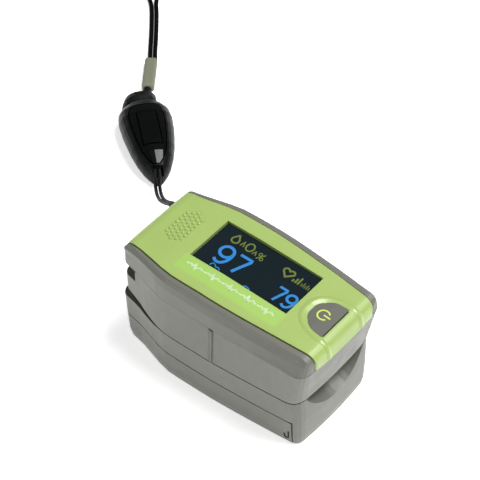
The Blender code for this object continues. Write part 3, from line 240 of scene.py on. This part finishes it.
def piece(name, shape, material, body):
    """Closes a bmesh into an object that rides on a body."""
    bmesh.ops.recalc_face_normals(shape, faces=shape.faces)
    mesh = bpy.data.meshes.new(name)
    shape.to_mesh(mesh)
    shape.free()
    item = bpy.data.objects.new(name, mesh)
    bpy.context.scene.collection.objects.link(item)
    mesh.shade_smooth()
    mesh.set_sharp_from_angle(angle=math.radians(45))
    mesh.materials.append(material)
    if body:
        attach(item, body)
    return item


def tube(name, points, radius, material, body, sides=12):
    """A round tube along points."""
    shape = bmesh.new()
    side = None
    rings = []
    for index, point in enumerate(points):
        before = points[max(index - 1, 0)]
        after = points[min(index + 1, len(points) - 1)]
        run = (after - before).normalized()
        side = side or run.orthogonal()
        side = (side - run * side.dot(run)).normalized()
        over = run.cross(side)
        ring = []
        for step in range(sides):
            turn = 2 * math.pi * step / sides
            ring.append(
                shape.verts.new(point + (side * math.cos(turn) + over * math.sin(turn)) * radius)
            )
        rings.append(ring)
    for low, high in zip(rings, rings[1:]):
        for index in range(sides):
            after = (index + 1) % sides
            shape.faces.new((low[index], low[after], high[after], high[index]))
    shape.faces.new(list(reversed(rings[0])))
    shape.faces.new(rings[-1])
    return piece(name, shape, material, body)


# %% The loop round the post
LOOP_DIAMETER = 0.95 * MM
LOOP_SPREAD = 0.55 * MM
LOOP_ROUTE = (
    (-0.0302, 0.0098, 0.0246),
    (-0.0328, 0.0121, 0.0237),
    (-0.0369, 0.0148, 0.0197),
    (-0.0421, 0.0190, 0.0140),
    (-0.0459, 0.0225, 0.0100),
    (-0.0493, 0.0257, 0.0070),
    (-0.0529, 0.0294, 0.0046),
    (-0.0548, 0.0316, 0.0044),
    (-0.0568, 0.0338, 0.0049),
)
POST = Vector((-0.0263, 0.0065, 0.0246))
POST_REACH = 1.975 * MM


def loop_strand(side):
    middle = through(LOOP_ROUTE, 3)
    strand = []
    for index, point in enumerate(middle):
        before = middle[max(index - 1, 0)]
        after = middle[min(index + 1, len(middle) - 1)]
        run = (after - before).to_2d().normalized()
        strand.append(point + Vector((-run.y, run.x, 0)) * side * LOOP_SPREAD)
    return strand


BIGHT_START = -148  # degrees round the post
BIGHT_SWEEP = 214
bight = []
for step in range(12):
    angle = math.radians(BIGHT_START + BIGHT_SWEEP * step / 11)
    bight.append(POST + Vector((math.cos(angle), math.sin(angle), 0)) * POST_REACH)
loop_line = list(reversed(loop_strand(1))) + bight + loop_strand(-1)
waxed_cord = finish(
    "waxed_cord", (0.002, 0.002, 0.002), 0.62, 0.2, (5200.0, 0.5), Specular_IOR_Level=0.25
)
loop = tube("lanyard_loop", loop_line, LOOP_DIAMETER / 2, waxed_cord, None)
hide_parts("lanyard_bight", "lanyard_strand_left", "lanyard_strand_right")
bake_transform(loop)
print("loop", round(length_of(loop_line) * 1000), "mm")

# %% [markdown]
# ## The strap
# The neck strap is one woven cord, doubled where it enters its sleeve, so two strands lie
# side by side on the floor. The spare length is wound into a neat flat coil. The coil is a
# line too: it winds inwards and outwards by turns, four layers deep.

# %% Route of the strap
STRAP_DIAMETER = 1.3 * MM
SLEEVE_START = Vector((-0.0822, 0.0596, 0.0))
SLEEVE_LENGTH = 12.3 * MM
SLEEVE_TURN = math.radians(125.8)
STRAP_TURN = math.radians(130.0)
STRAP_ROUTE = (
    (0.0004, -0.0003, 0.00069),
    (0.0040, -0.0003, 0.00069),
    (0.0104, -0.0005, 0.00069),
    (0.0160, -0.0006, 0.00069),
    (0.0220, -0.0006, 0.00069),
    (0.0260, -0.0004, 0.00076),
    (0.0295, -0.0002, 0.00150),
    (0.0335, 0.0, 0.00340),
    (0.0388, 0.0, 0.00660),
    (0.0440, 0.0, 0.00995),
)
COIL_AHEAD = 50.0 * MM
COIL_RADII = (9.9 * MM, 4.45 * MM)
LAYER = 1.33 * MM
REST = STRAP_DIAMETER / 2 + 0.05 * MM

sleeve_end = SLEEVE_START + Matrix.Rotation(SLEEVE_TURN, 3, "Z") @ Vector((SLEEVE_LENGTH, 0, 0))
strap_frame = Matrix.Translation(sleeve_end) @ Matrix.Rotation(STRAP_TURN, 4, "Z")


def eased(share):
    share = min(max(share, 0.0), 1.0)
    return share * share * (3 - 2 * share)


def coil_line():
    """Four layers of four turns, with two thirds of a turn to climb between layers, wound clockwise."""
    outer, inner = COIL_RADII
    start = math.atan2(9.95, -6.0)
    spans = [4.0, 2 / 3, 4.0, 2 / 3, 4.0, 2 / 3, 4.0]
    marks = [(0.0, outer, 0)]
    for index, span in enumerate(spans):
        turn, radius, layer = marks[-1]
        if index % 2:
            marks.append((turn + span, radius, layer + 1))
        else:
            marks.append((turn + span, inner if radius == outer else outer, layer))
    whole = marks[-1][0] + (242 / 360 - 2.0) % 1.0
    marks.append((whole, marks[-1][1], marks[-1][2]))
    steps = int(whole * 18)
    line = []
    for step in range(steps + 1):
        turn = whole * step / steps
        for low, high in zip(marks, marks[1:]):
            if turn <= high[0] + 1e-9:
                break
        share = (turn - low[0]) / max(high[0] - low[0], 1e-9)
        radius = low[1] + (high[1] - low[1]) * share
        height = REST + LAYER * (low[2] + (high[2] - low[2]) * eased(share))
        radius += 1.7 * MM * (1 - eased(turn / 0.22))
        left = whole - turn
        radius += 1.75 * MM * (1 - eased(left / 0.2 - 0.6))
        height += (REST - height) * (1 - eased(left / 0.22))
        angle = start - 2 * math.pi * turn
        line.append(
            Vector((COIL_AHEAD + radius * math.cos(angle), radius * math.sin(angle), height))
        )
    return line


def strap_strand(side):
    return through([(x, y + side * spread, REST) for x, y, spread in STRAP_ROUTE], 3)


strap_line = strap_strand(1)[:-1] + coil_line() + list(reversed(strap_strand(-1)[:-1]))
strap_line = [strap_frame @ p for p in strap_line]
print("strap", round(length_of(strap_line) * 1000), "mm,", len(strap_line), "points")

# %% Weave and make the strap
def woven(name, colour, rough):
    """A braid: one set of fine diagonal waves that dent the cord."""
    made = finish(name, colour, rough, 0.25, (4500.0, 0.4), Specular_IOR_Level=0.1)
    tree = made.node_tree
    place = tree.nodes.new("ShaderNodeTexCoord")
    ribs = tree.nodes.new("ShaderNodeTexWave")
    ribs.inputs["Scale"].default_value = 700.0
    ribs.inputs["Distortion"].default_value = 1.5
    ribs.bands_direction = "DIAGONAL"
    tree.links.new(place.outputs["Object"], ribs.inputs["Vector"])
    dent = tree.nodes.new("ShaderNodeBump")
    dent.inputs["Strength"].default_value = 0.6
    dent.inputs["Distance"].default_value = 0.00012
    tree.links.new(ribs.outputs["Fac"], dent.inputs["Height"])
    grain = next(node for node in tree.nodes if node.type == "BUMP" and node != dent)
    tree.links.new(grain.outputs["Normal"], dent.inputs["Normal"])
    tree.links.new(dent.outputs["Normal"], tree.nodes["Principled BSDF"].inputs["Normal"])
    return made


strap_weave = woven("strap_weave", (0.002, 0.002, 0.002), 0.85)
strap = tube("neck_strap", strap_line, STRAP_DIAMETER / 2, strap_weave, "lower_half", sides=10)
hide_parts("strap_run_left", "strap_run_right", "strap_coil")

# %% [markdown]
# ## The buckle and its sleeve
# The buckle is a quick release: a dull black shell with a glossy inlay and a press panel,
# plugged into a cap that holds the strap's sleeve. Gloss against satin tells them apart.

# %% Dress the buckle
satin_black = finish(
    "satin_black", (0.003, 0.0035, 0.0035), 0.36, 0.2, (2600.0, 0.2), Specular_IOR_Level=0.13
)
gloss_black = finish(
    "gloss_black", (0.002, 0.0025, 0.0025), 0.16, 0.2, (600.0, 0.02), Specular_IOR_Level=0.2
)
dull_black = finish(
    "dull_black", (0.003, 0.003, 0.003), 0.55, 0.2, (2600.0, 0.3), Specular_IOR_Level=0.2
)
sleeve_rubber = finish("sleeve_rubber", (0.185, 0.19, 0.135), 0.65, 0.05, (2800.0, 0.3))
dress(("buckle_body",), satin_black)
dress(("buckle_cap", "coil_tie"), dull_black)
dress(("buckle_inlay", "buckle_button"), gloss_black)
dress(("strap_sleeve",), sleeve_rubber)
for name, width in (
    ("buckle_body", 0.25), ("buckle_inlay", 0.45), ("buckle_button", 0.3), ("buckle_cap", 0.3)
):
    soften(name, width * MM, 3)
print("buckle dressed")

# %% [markdown]
# ## Things laid on a curved surface
# The dots, the ridge and the printed marks all sit on surfaces that are not flat. A search
# tree of the solid's triangles tells us the height under any spot, so every piece can be
# laid where the real one is moulded or printed.

# %% Surface helpers
def skin_of(name):
    mesh = nodes[name].data
    return BVHTree.FromPolygons(
        [v.co for v in mesh.vertices], [tuple(p.vertices) for p in mesh.polygons]
    )


def onto(tree, start, direction):
    """The place and normal where a ray from start meets a surface."""
    place, normal, _, _ = tree.ray_cast(Vector(start), Vector(direction))
    return place, normal


cover_skin = skin_of("top_cover")
DOWN = (0, 0, -1)
SKY = 0.06


def sew(shape, low, high):
    """Faces between two closed rows of points."""
    for index in range(len(low)):
        after = (index + 1) % len(low)
        shape.faces.new((low[index], low[after], high[after], high[index]))


def join_rows(shape, rows):
    """Faces along rows of points, with a cap at each end."""
    for low, high in zip(rows, rows[1:]):
        sew(shape, low, high)
    shape.faces.new(list(reversed(rows[0])))
    shape.faces.new(rows[-1])


def ribbon(shape, points, width, height_at, thick=0.05 * MM):
    """A flat printed stroke with a little thickness, laid along points in X and Y, in millimetres."""
    points = [Vector(p) * MM for p in points]
    rows = []
    for index, point in enumerate(points):
        before = points[max(index - 1, 0)]
        after = points[min(index + 1, len(points) - 1)]
        run = (after - before).normalized()
        first = (point - before).normalized() if index else run
        stretch = 1 / max(run.dot(first), 0.55)
        across = Vector((-run.y, run.x)) * width / 2 * stretch
        row = []
        for side, lift in ((1, thick), (-1, thick), (-1, -thick), (1, -thick)):
            x, y = point.x + across.x * side, point.y + across.y * side
            row.append(shape.verts.new((x, y, height_at(x, y) + lift)))
        rows.append(row)
    join_rows(shape, rows)


def arc(centre, radii, start, end, steps=24):
    """Points on part of an ellipse, from one angle to another in degrees."""
    made = []
    for step in range(steps + 1):
        angle = math.radians(start + (end - start) * step / steps)
        made.append(
            (centre[0] + radii[0] * math.cos(angle), centre[1] + radii[1] * math.sin(angle))
        )
    return made


# %% [markdown]
# ## Raised dots
# A patch of small domes near the rear gives the finger a grip for squeezing the clamp. They
# are many copies of one small form, so a loop over a hexagonal grid makes them.

# %% Make the grip dots
PATCH = (-0.0197, 0.0012)
PITCH = 1.3 * MM
DOT_RADIUS = 0.5 * MM
DOT_RISE = 0.34 * MM
shape = bmesh.new()
dots = 0
for row in range(-5, 6):
    for column in range(-7, 8):
        dx = row * PITCH * 0.866
        dy = (column + 0.5 * (row % 2)) * PITCH
        if abs(dx) > 3.3 * MM or abs(dy) + abs(dx) * 0.75 > 5.6 * MM:
            continue
        place, normal = onto(cover_skin, (PATCH[0] + dx, PATCH[1] + dy, SKY), DOWN)
        dome = Matrix.Translation(place) @ Matrix.Diagonal((DOT_RADIUS, DOT_RADIUS, DOT_RISE, 1))
        bmesh.ops.create_uvsphere(shape, u_segments=10, v_segments=6, radius=1.0, matrix=dome)
        dots += 1
grip = piece("grip_dots", shape, gloss_green, "upper_half")
print(dots, "dots")

# %% [markdown]
# ## The ridge round the key
# A low ridge runs up the apron, round the back of the key and down again. Its section is a
# smooth hump that starts and ends level with the cover, so light slides over it with no line.

# %% Make the ridge
RIDGE_HALF = 1.25 * MM
RIDGE_RISE = 0.34 * MM
half_line = [
    (18.0, 0.0),
    (18.05, 1.6),
    (18.7, 3.2),
    (20.0, 4.5),
    (21.8, 5.4),
    (23.8, 5.95),
    (25.6, 6.15),
    (26.8, 6.2),
]
ridge_line = []
for x, y, _ in through([(x, y, 0) for x, y in half_line], 4):
    place, normal = onto(cover_skin, (x * MM, y * MM, SKY), DOWN)
    if place is None:
        place, normal = onto(cover_skin, (x * MM - 1.2 * MM, y * MM, SKY), DOWN)
    ridge_line.append((Vector((x * MM, y * MM, place.z)), normal))
for step in range(1, 11):
    z = 0.0311 - 0.00037 * step
    place, normal = onto(cover_skin, (0.05, 6.2 * MM, z), (-1, 0, 0))
    ridge_line.append((place, normal))
mirrored = [
    (Vector((p.x, -p.y, p.z)), Vector((n.x, -n.y, n.z))) for p, n in reversed(ridge_line[1:])
]
ridge_line = mirrored + ridge_line
shape = bmesh.new()
rows = []
for index, (place, normal) in enumerate(ridge_line):
    before = ridge_line[max(index - 1, 0)][0]
    after = ridge_line[min(index + 1, len(ridge_line) - 1)][0]
    run = (after - before).normalized()
    across = normal.cross(run).normalized()
    row = []
    for step in range(9):
        u = -1 + 2 * step / 8
        lift = RIDGE_RISE * (0.5 + 0.5 * math.cos(math.pi * u)) - 0.05 * MM
        row.append(shape.verts.new(place + across * u * RIDGE_HALF + normal * lift))
    row.append(shape.verts.new(place - normal * 0.4 * MM))
    rows.append(row)
join_rows(shape, rows)
ridge = piece("key_ridge", shape, gloss_green, "upper_half")
print(len(ridge_line), "steps along the ridge")

# %% [markdown]
# ## What the display shows
# The readings are bright strokes on a dark glass: a large number, a smaller one half hidden
# by the window's edge, and dull symbols above them. Each stroke is a thin solid.

# %% Glowing finishes
def glowing(name, colour, glow, strength):
    """A lit stroke, crossed by the display's fine rows."""
    made = finish(name, colour, 0.4, 0.1, (3000.0, 0.0))
    tree = made.node_tree
    shader = tree.nodes["Principled BSDF"]
    place = tree.nodes.new("ShaderNodeTexCoord")
    rows = tree.nodes.new("ShaderNodeTexWave")
    rows.inputs["Scale"].default_value = 620.0
    tree.links.new(place.outputs["Object"], rows.inputs["Vector"])
    lit = ramp(tree, rows.outputs["Fac"], ((0.1, mixed(glow, 0.75)), (0.6, mixed(glow, 1.05))))
    tree.links.new(lit.outputs["Color"], shader.inputs["Emission Color"])
    shader.inputs["Emission Strength"].default_value = strength
    return made


blue_light = glowing("blue_reading", (0.01, 0.03, 0.06), (0.02, 0.26, 0.72), 0.9)
olive_light = glowing("olive_symbol", (0.02, 0.02, 0.005), (0.19, 0.24, 0.04), 0.8)

lens_points = [v.co for v in nodes["display_lens"].data.vertices]
rear_x = min(p.x for p in lens_points)
front_x = max(p.x for p in lens_points)
rear_z = max(p.z for p in lens_points if p.x < rear_x + MM)
front_z = max(p.z for p in lens_points if p.x > front_x - MM)


def on_lens(x, y):
    return rear_z + (front_z - rear_z) * (x - rear_x) / (front_x - rear_x)


def nine(shape, centre, radius, width, tail):
    ribbon(shape, arc(centre, (radius, radius), 0, 360), width, on_lens)
    ribbon(shape, tail, width, on_lens)


# %% The readings
shape = bmesh.new()
tail = [
    (-5.02, 1.3),
    (-4.95, 0.2),
    (-5.15, -0.9),
    (-5.65, -1.9),
    (-6.4, -2.5),
    (-7.3, -2.55),
    (-8.2, -1.95),
]
nine(
    shape,
    (-6.8, 1.3),
    1.75,
    0.78 * MM,
    [(p.x, p.y) for p in through([(x, y, 0) for x, y in tail], 4)],
)
ribbon(
    shape,
    [(-3.75, 2.75), (-0.3, 2.75), (-0.35, 2.3), (-1.3, -0.1), (-2.3, -2.9)],
    0.78 * MM,
    on_lens,
)
tail = [(15.05, -0.6), (15.05, -1.5), (14.8, -2.6), (14.2, -3.4), (13.4, -3.6), (12.6, -3.1)]
nine(
    shape,
    (13.85, -0.55),
    1.2,
    0.66 * MM,
    [(p.x, p.y) for p in through([(x, y, 0) for x, y in tail], 4)],
)
ribbon(
    shape,
    [(9.4, 0.85), (11.7, 0.85), (11.65, 0.45), (11.0, -1.3), (10.3, -3.6)],
    0.66 * MM,
    on_lens,
)
wave = [(-7.5, -4.4), (-7.15, -3.45), (-6.5, -3.55), (-5.9, -4.1), (-5.2, -3.9), (-4.6, -4.4)]
ribbon(shape, wave, 0.25 * MM, on_lens)
ribbon(shape, [(2.7, -4.6), (3.1, -4.25), (3.8, -4.3), (4.5, -4.6)], 0.25 * MM, on_lens)
readings = piece("display_readings", shape, blue_light, "upper_half")

# %% The symbols above the readings
shape = bmesh.new()
drop = [
    (-7.7, 7.5),
    (-8.2, 6.6),
    (-8.65, 5.8),
    (-8.5, 5.0),
    (-7.7, 4.6),
    (-6.9, 5.0),
    (-6.75, 5.8),
    (-7.2, 6.6),
    (-7.7, 7.5),
]
ribbon(shape, [(p.x, p.y) for p in through([(x, y, 0) for x, y in drop], 3)], 0.42 * MM, on_lens)
ribbon(shape, arc((-3.5, 5.9), (1.0, 1.25), 0, 360), 0.4 * MM, on_lens)
ribbon(shape, [(-5.9, 5.0), (-5.5, 6.6), (-5.0, 5.0)], 0.34 * MM, on_lens)
ribbon(shape, [(-2.1, 4.6), (-1.6, 5.8), (-1.1, 4.6)], 0.3 * MM, on_lens)
ribbon(shape, [(-0.5, 4.1), (0.9, 6.3)], 0.3 * MM, on_lens)
ribbon(shape, arc((-0.25, 5.75), (0.4, 0.45), 0, 360, 12), 0.25 * MM, on_lens)
ribbon(shape, arc((0.7, 4.6), (0.4, 0.45), 0, 360, 12), 0.25 * MM, on_lens)
heart = arc((7.5, 5.75), (0.75, 0.75), 200, 20, 10) + arc((9.0, 5.75), (0.75, 0.75), 160, -20, 10) + [
    (8.25, 3.95), (6.8, 5.45)
]
ribbon(shape, heart, 0.48 * MM, on_lens)
for index in range(3):
    x = 10.4 + 0.75 * index
    ribbon(shape, [(x, 3.9), (x, 4.7 + 0.75 * index)], 0.46 * MM, on_lens)
for index in range(5):
    x = 12.75 + 0.52 * index
    ribbon(shape, [(x, 3.9), (x, 4.9 + 0.5 * (index % 2))], 0.2 * MM, on_lens)
symbols = piece("display_symbols", shape, olive_light, "upper_half")
print("display drawn")

# %% [markdown]
# ## The printed band
# Beside the window runs a brighter green band with a white print. Here it is a plain row of
# heartbeats. The band itself is part of the cover's finish: a mask made from X and Y.

# %% Print the pulse line and paint the band
COVER_TOP = 0.033


def on_cover(x, y):
    place, _ = onto(cover_skin, (x, y, SKY), DOWN)
    return place.z if place else COVER_TOP


BEAT_PITCH = 5.2
PRINT_START = (-11.8, -7.5)
beat = (
    (0.0, 0.0),
    (0.8, 0.0),
    (1.2, 0.45),
    (1.6, 0.0),
    (1.95, -0.35),
    (2.4, 1.15),
    (2.85, -1.05),
    (3.2, 0.0),
    (3.6, 0.0),
    (4.0, 0.55),
    (4.4, 0.0),
)
shape = bmesh.new()
for number in range(5):
    start = PRINT_START[0] + BEAT_PITCH * number
    line = [(start + x, PRINT_START[1] + y) for x, y in beat]
    line.append((start + 4.95, PRINT_START[1]))
    for one, other in zip(line, line[1:]):
        ribbon(shape, [one, other], 0.42 * MM, on_cover, 0.02 * MM)
white_print = finish("white_print", (0.52, 0.68, 0.4), 0.4, 0.03, (2500.0, 0.05))
pulse = piece("pulse_print", shape, white_print, "upper_half")

tree = gloss_green.node_tree
shader = tree.nodes["Principled BSDF"]
place = tree.nodes.new("ShaderNodeTexCoord")
split = tree.nodes.new("ShaderNodeSeparateXYZ")
tree.links.new(place.outputs["Object"], split.inputs["Vector"])


def band_edge(axis, start, end):
    """0 at start, 1 at end, along one axis."""
    made = tree.nodes.new("ShaderNodeMapRange")
    made.inputs["From Min"].default_value = start
    made.inputs["From Max"].default_value = end
    tree.links.new(split.outputs[axis], made.inputs["Value"])
    return made.outputs["Result"]


mask = None
for axis, start, end in (
    ("X", -0.0142, -0.0132), ("X", 0.0166, 0.0156), ("Y", -0.0108, -0.0098), ("Y", -0.0048, -0.0058)
):
    edge = band_edge(axis, start, end)
    if mask is None:
        mask = edge
        continue
    both = tree.nodes.new("ShaderNodeMath")
    both.operation = "MULTIPLY"
    tree.links.new(mask, both.inputs[0])
    tree.links.new(edge, both.inputs[1])
    mask = both.outputs[0]
blend = tree.nodes.new("ShaderNodeMix")
blend.data_type = "RGBA"
tree.links.new(mask, blend.inputs["Factor"])
old = shader.inputs["Base Color"].links[0].from_socket
tree.links.new(old, blend.inputs[6])
blend.inputs[7].default_value = (0.33, 0.53, 0.12, 1)
tree.links.new(blend.outputs[2], shader.inputs["Base Color"])

# %% [markdown]
# ## The key's mark
# A ring open towards the front, with a short bar in the gap, marks the key.

# %% Print the key's mark
key_skin = skin_of("power_button")
KEY_TOP = 0.032


def on_key(x, y):
    place, _ = onto(key_skin, (x, y, SKY), DOWN)
    return place.z if place else KEY_TOP


shape = bmesh.new()
ribbon(shape, arc((22.4, 0.15), (1.45, 1.45), 38, 322), 0.4 * MM, on_key, 0.03 * MM)
ribbon(shape, [(22.5, 0.15), (24.3, 0.15)], 0.4 * MM, on_key, 0.03 * MM)
key_print = finish("key_print", (0.62, 0.68, 0.12), 0.5, 0.04, (2500.0, 0.1))
mark = piece("key_mark", shape, key_print, "power_button")
print("key marked")

# %% [markdown]
# ## Side ribs and the seam
# A low double rib stands on each flank of the display half, between its two seams.
# A thin dark hook on the battery cover is painted shade: it stands for the shadow in the
# small hooked notch by the cover's latch. The joint of the display half's two mouldings closes
# so tightly that it shows as a crease: a belt just inside it keeps the light from falling into the gap.

# %% Ribs and belt
base_skin = skin_of("upper_base")
for name, side in (("side_rib_near", -1), ("side_rib_far", 1)):
    shape = bmesh.new()
    rows = []
    for step in range(14):
        z = (15.95 + 10.5 * step / 13) * MM
        row = []
        for x, lift in (
            (1.5, -0.3),
            (1.55, 0.0),
            (1.75, 0.32),
            (2.1, 0.16),
            (2.4, 0.36),
            (2.7, 0.3),
            (2.8, -0.3),
        ):
            place, normal = onto(base_skin, (x * MM, side * 0.03, z), (0, -side, 0))
            row.append(shape.verts.new(place + Vector((0, side * lift * MM, 0))))
        rows.append(row)
    join_rows(shape, rows)
    rib = piece(name, shape, satin_grey, "upper_half")

door_skin = skin_of("battery_cover")
hook = [(24.0, 4.6), (24.0, 3.4), (23.9, 2.3), (23.3, 2.0), (22.9, 2.5), (22.9, 3.3)]
hook_line = []
for x, _, z in through([(x, 0, z) for x, z in hook], 3):
    hook_line.append(onto(door_skin, (x * MM, -0.03, z * MM), (0, 1, 0))[0])
# The dark hook is painted shade: a thin tube in dull black, laid where the cover's hooked notch holds
# shadow.
latch_shade = tube("door_notch_shade", hook_line, 0.2 * MM, dull_black, "battery_cover", 8)

SEAM_STEPS = 180
seam_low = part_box("upper_base")[1][2]
shape = bmesh.new()
rows = [[], [], [], []]
for step in range(SEAM_STEPS):
    angle = 2 * math.pi * step / SEAM_STEPS
    reach = Vector((math.cos(angle) * 0.05, math.sin(angle) * 0.03, 0))
    aim = Vector((math.cos(angle) * 0.014, math.sin(angle) * 0.002, 0))
    start = reach + Vector((0, 0, seam_low - 0.2 * MM))
    run = (aim - reach).normalized()
    place, normal = onto(base_skin, start, run)
    for row, depth, z in (
        (rows[0], 0.03, -0.28), (rows[1], 0.03, 0.58), (rows[2], 0.7, 0.58), (rows[3], 0.7, -0.28)
    ):
        spot = place + run * depth * MM
        row.append(shape.verts.new((spot.x, spot.y, seam_low + z * MM)))
for low, high in zip(rows, rows[1:] + rows[:1]):
    sew(shape, low, high)
belt = piece("seam_belt", shape, satin_grey, "upper_half")
print("ribs, catch and belt made")

# %% [markdown]
# ## Inside the clamp
# Dark silicone pads, a window for the light, metal contacts and the board show only through
# the mouth or when the cover slides, but each still gets the finish of its real material.

# %% Dress the inner pieces
dress(
    ("lower_finger_pad", "upper_finger_pad"),
    finish("pad_silicone", (0.03, 0.03, 0.03), 0.6, 0.1, (2000.0, 0.3)),
)
dress(("display_gasket",), finish("gasket_foam", (0.02, 0.02, 0.02), 0.9, 0.2, (1500.0, 0.8)))
dress(
    ("main_board", "emitter_board", "sensor_board"),
    finish("board_mask", (0.01, 0.14, 0.06), 0.35, 0.1, (800.0, 0.1)),
)
dress(
    ("processor_chip", "ribbon_connector", "photodiode"),
    finish("chip_resin", (0.015, 0.015, 0.016), 0.45, 0.1, (3000.0, 0.2)),
)
dress(
    ("emitter_lens", "sensor_lens", "led_emitter"),
    finish("clear_resin", (0.1, 0.11, 0.12), 0.08, 0.05, (400.0, 0.02), Coat_Weight=0.3),
)
dress(("flex_ribbon",), finish("ribbon_film", (0.5, 0.22, 0.04), 0.3, 0.08, (900.0, 0.1)))
dress(
    ("battery_cell_left", "battery_cell_right"),
    finish("cell_wrap", (0.03, 0.031, 0.033), 0.35, 0.05, (500.0, 0.05)),
)
bright_metal = finish("spring_metal", (0.56, 0.56, 0.57), 0.28, 0.04, (1800.0, 0.1), 1.0)
metal_names = (
    "hinge_pin",
    "torsion_spring_left",
    "torsion_spring_right",
    "contact_spring_left",
    "contact_spring_right",
)
screw_names = tuple(name for name in nodes if name.startswith("case_screw"))
dress(metal_names + screw_names, bright_metal)
tin = finish("tinned_plate", (0.75, 0.74, 0.7), 0.3, 0.04, (1500.0, 0.1), 1.0)
dress(("contact_bridge", "contact_tab_left", "contact_tab_right", "tact_switch"), tin)
for name in metal_names + screw_names:
    nodes[name].data.shade_smooth()
    nodes[name].data.set_sharp_from_angle(angle=math.radians(35))
print("inner pieces dressed")

# %% [markdown]
# ## Floor and light
# The floor is plain and pale, and glows a little, so that it stays white where the light is
# weak. One large lamp high on the far side gives the soft shadows. A weak one by the near
# side keeps the flanks from going black, and the dim surroundings let black pieces be black.

# %% Stage
def area_light(name, place, aim, size, power):
    light = bpy.data.lights.new(name, "AREA")
    light.shape = "DISK"
    light.size = size
    light.energy = power
    item = bpy.data.objects.new(name, light)
    bpy.context.scene.collection.objects.link(item)
    item.location = place
    item.rotation_euler = (Vector(aim) - Vector(place)).to_track_quat("-Z", "Y").to_euler()
    return item


shape = bmesh.new()
bmesh.ops.create_grid(shape, x_segments=1, y_segments=1, size=2.0)
mesh = bpy.data.meshes.new("floor")
shape.to_mesh(mesh)
shape.free()
floor = bpy.data.objects.new("floor", mesh)
bpy.context.scene.collection.objects.link(floor)
pale = finish("pale_floor", (0.95, 0.95, 0.95), 0.7, 0.002, (500.0, 0.0))
floor_shader = pale.node_tree.nodes["Principled BSDF"]
floor_shader.inputs["Emission Color"].default_value = (1, 1, 1, 1)
floor_shader.inputs["Emission Strength"].default_value = 0.62
floor.data.materials.append(pale)
world = bpy.data.worlds.new("studio")
bpy.context.scene.world = world
world.use_nodes = True
world.node_tree.nodes["Background"].inputs["Color"].default_value = (1, 1, 1, 1)
world.node_tree.nodes["Background"].inputs["Strength"].default_value = 0.13
area_light("key_light", (0.26, 0.22, 0.8), (0, 0, 0), 0.5, 9.5)
area_light("side_light", (-0.25, -0.75, 0.35), (0, 0, 0.01), 0.5, 1.6)
bpy.context.scene.view_settings.view_transform = "Standard"
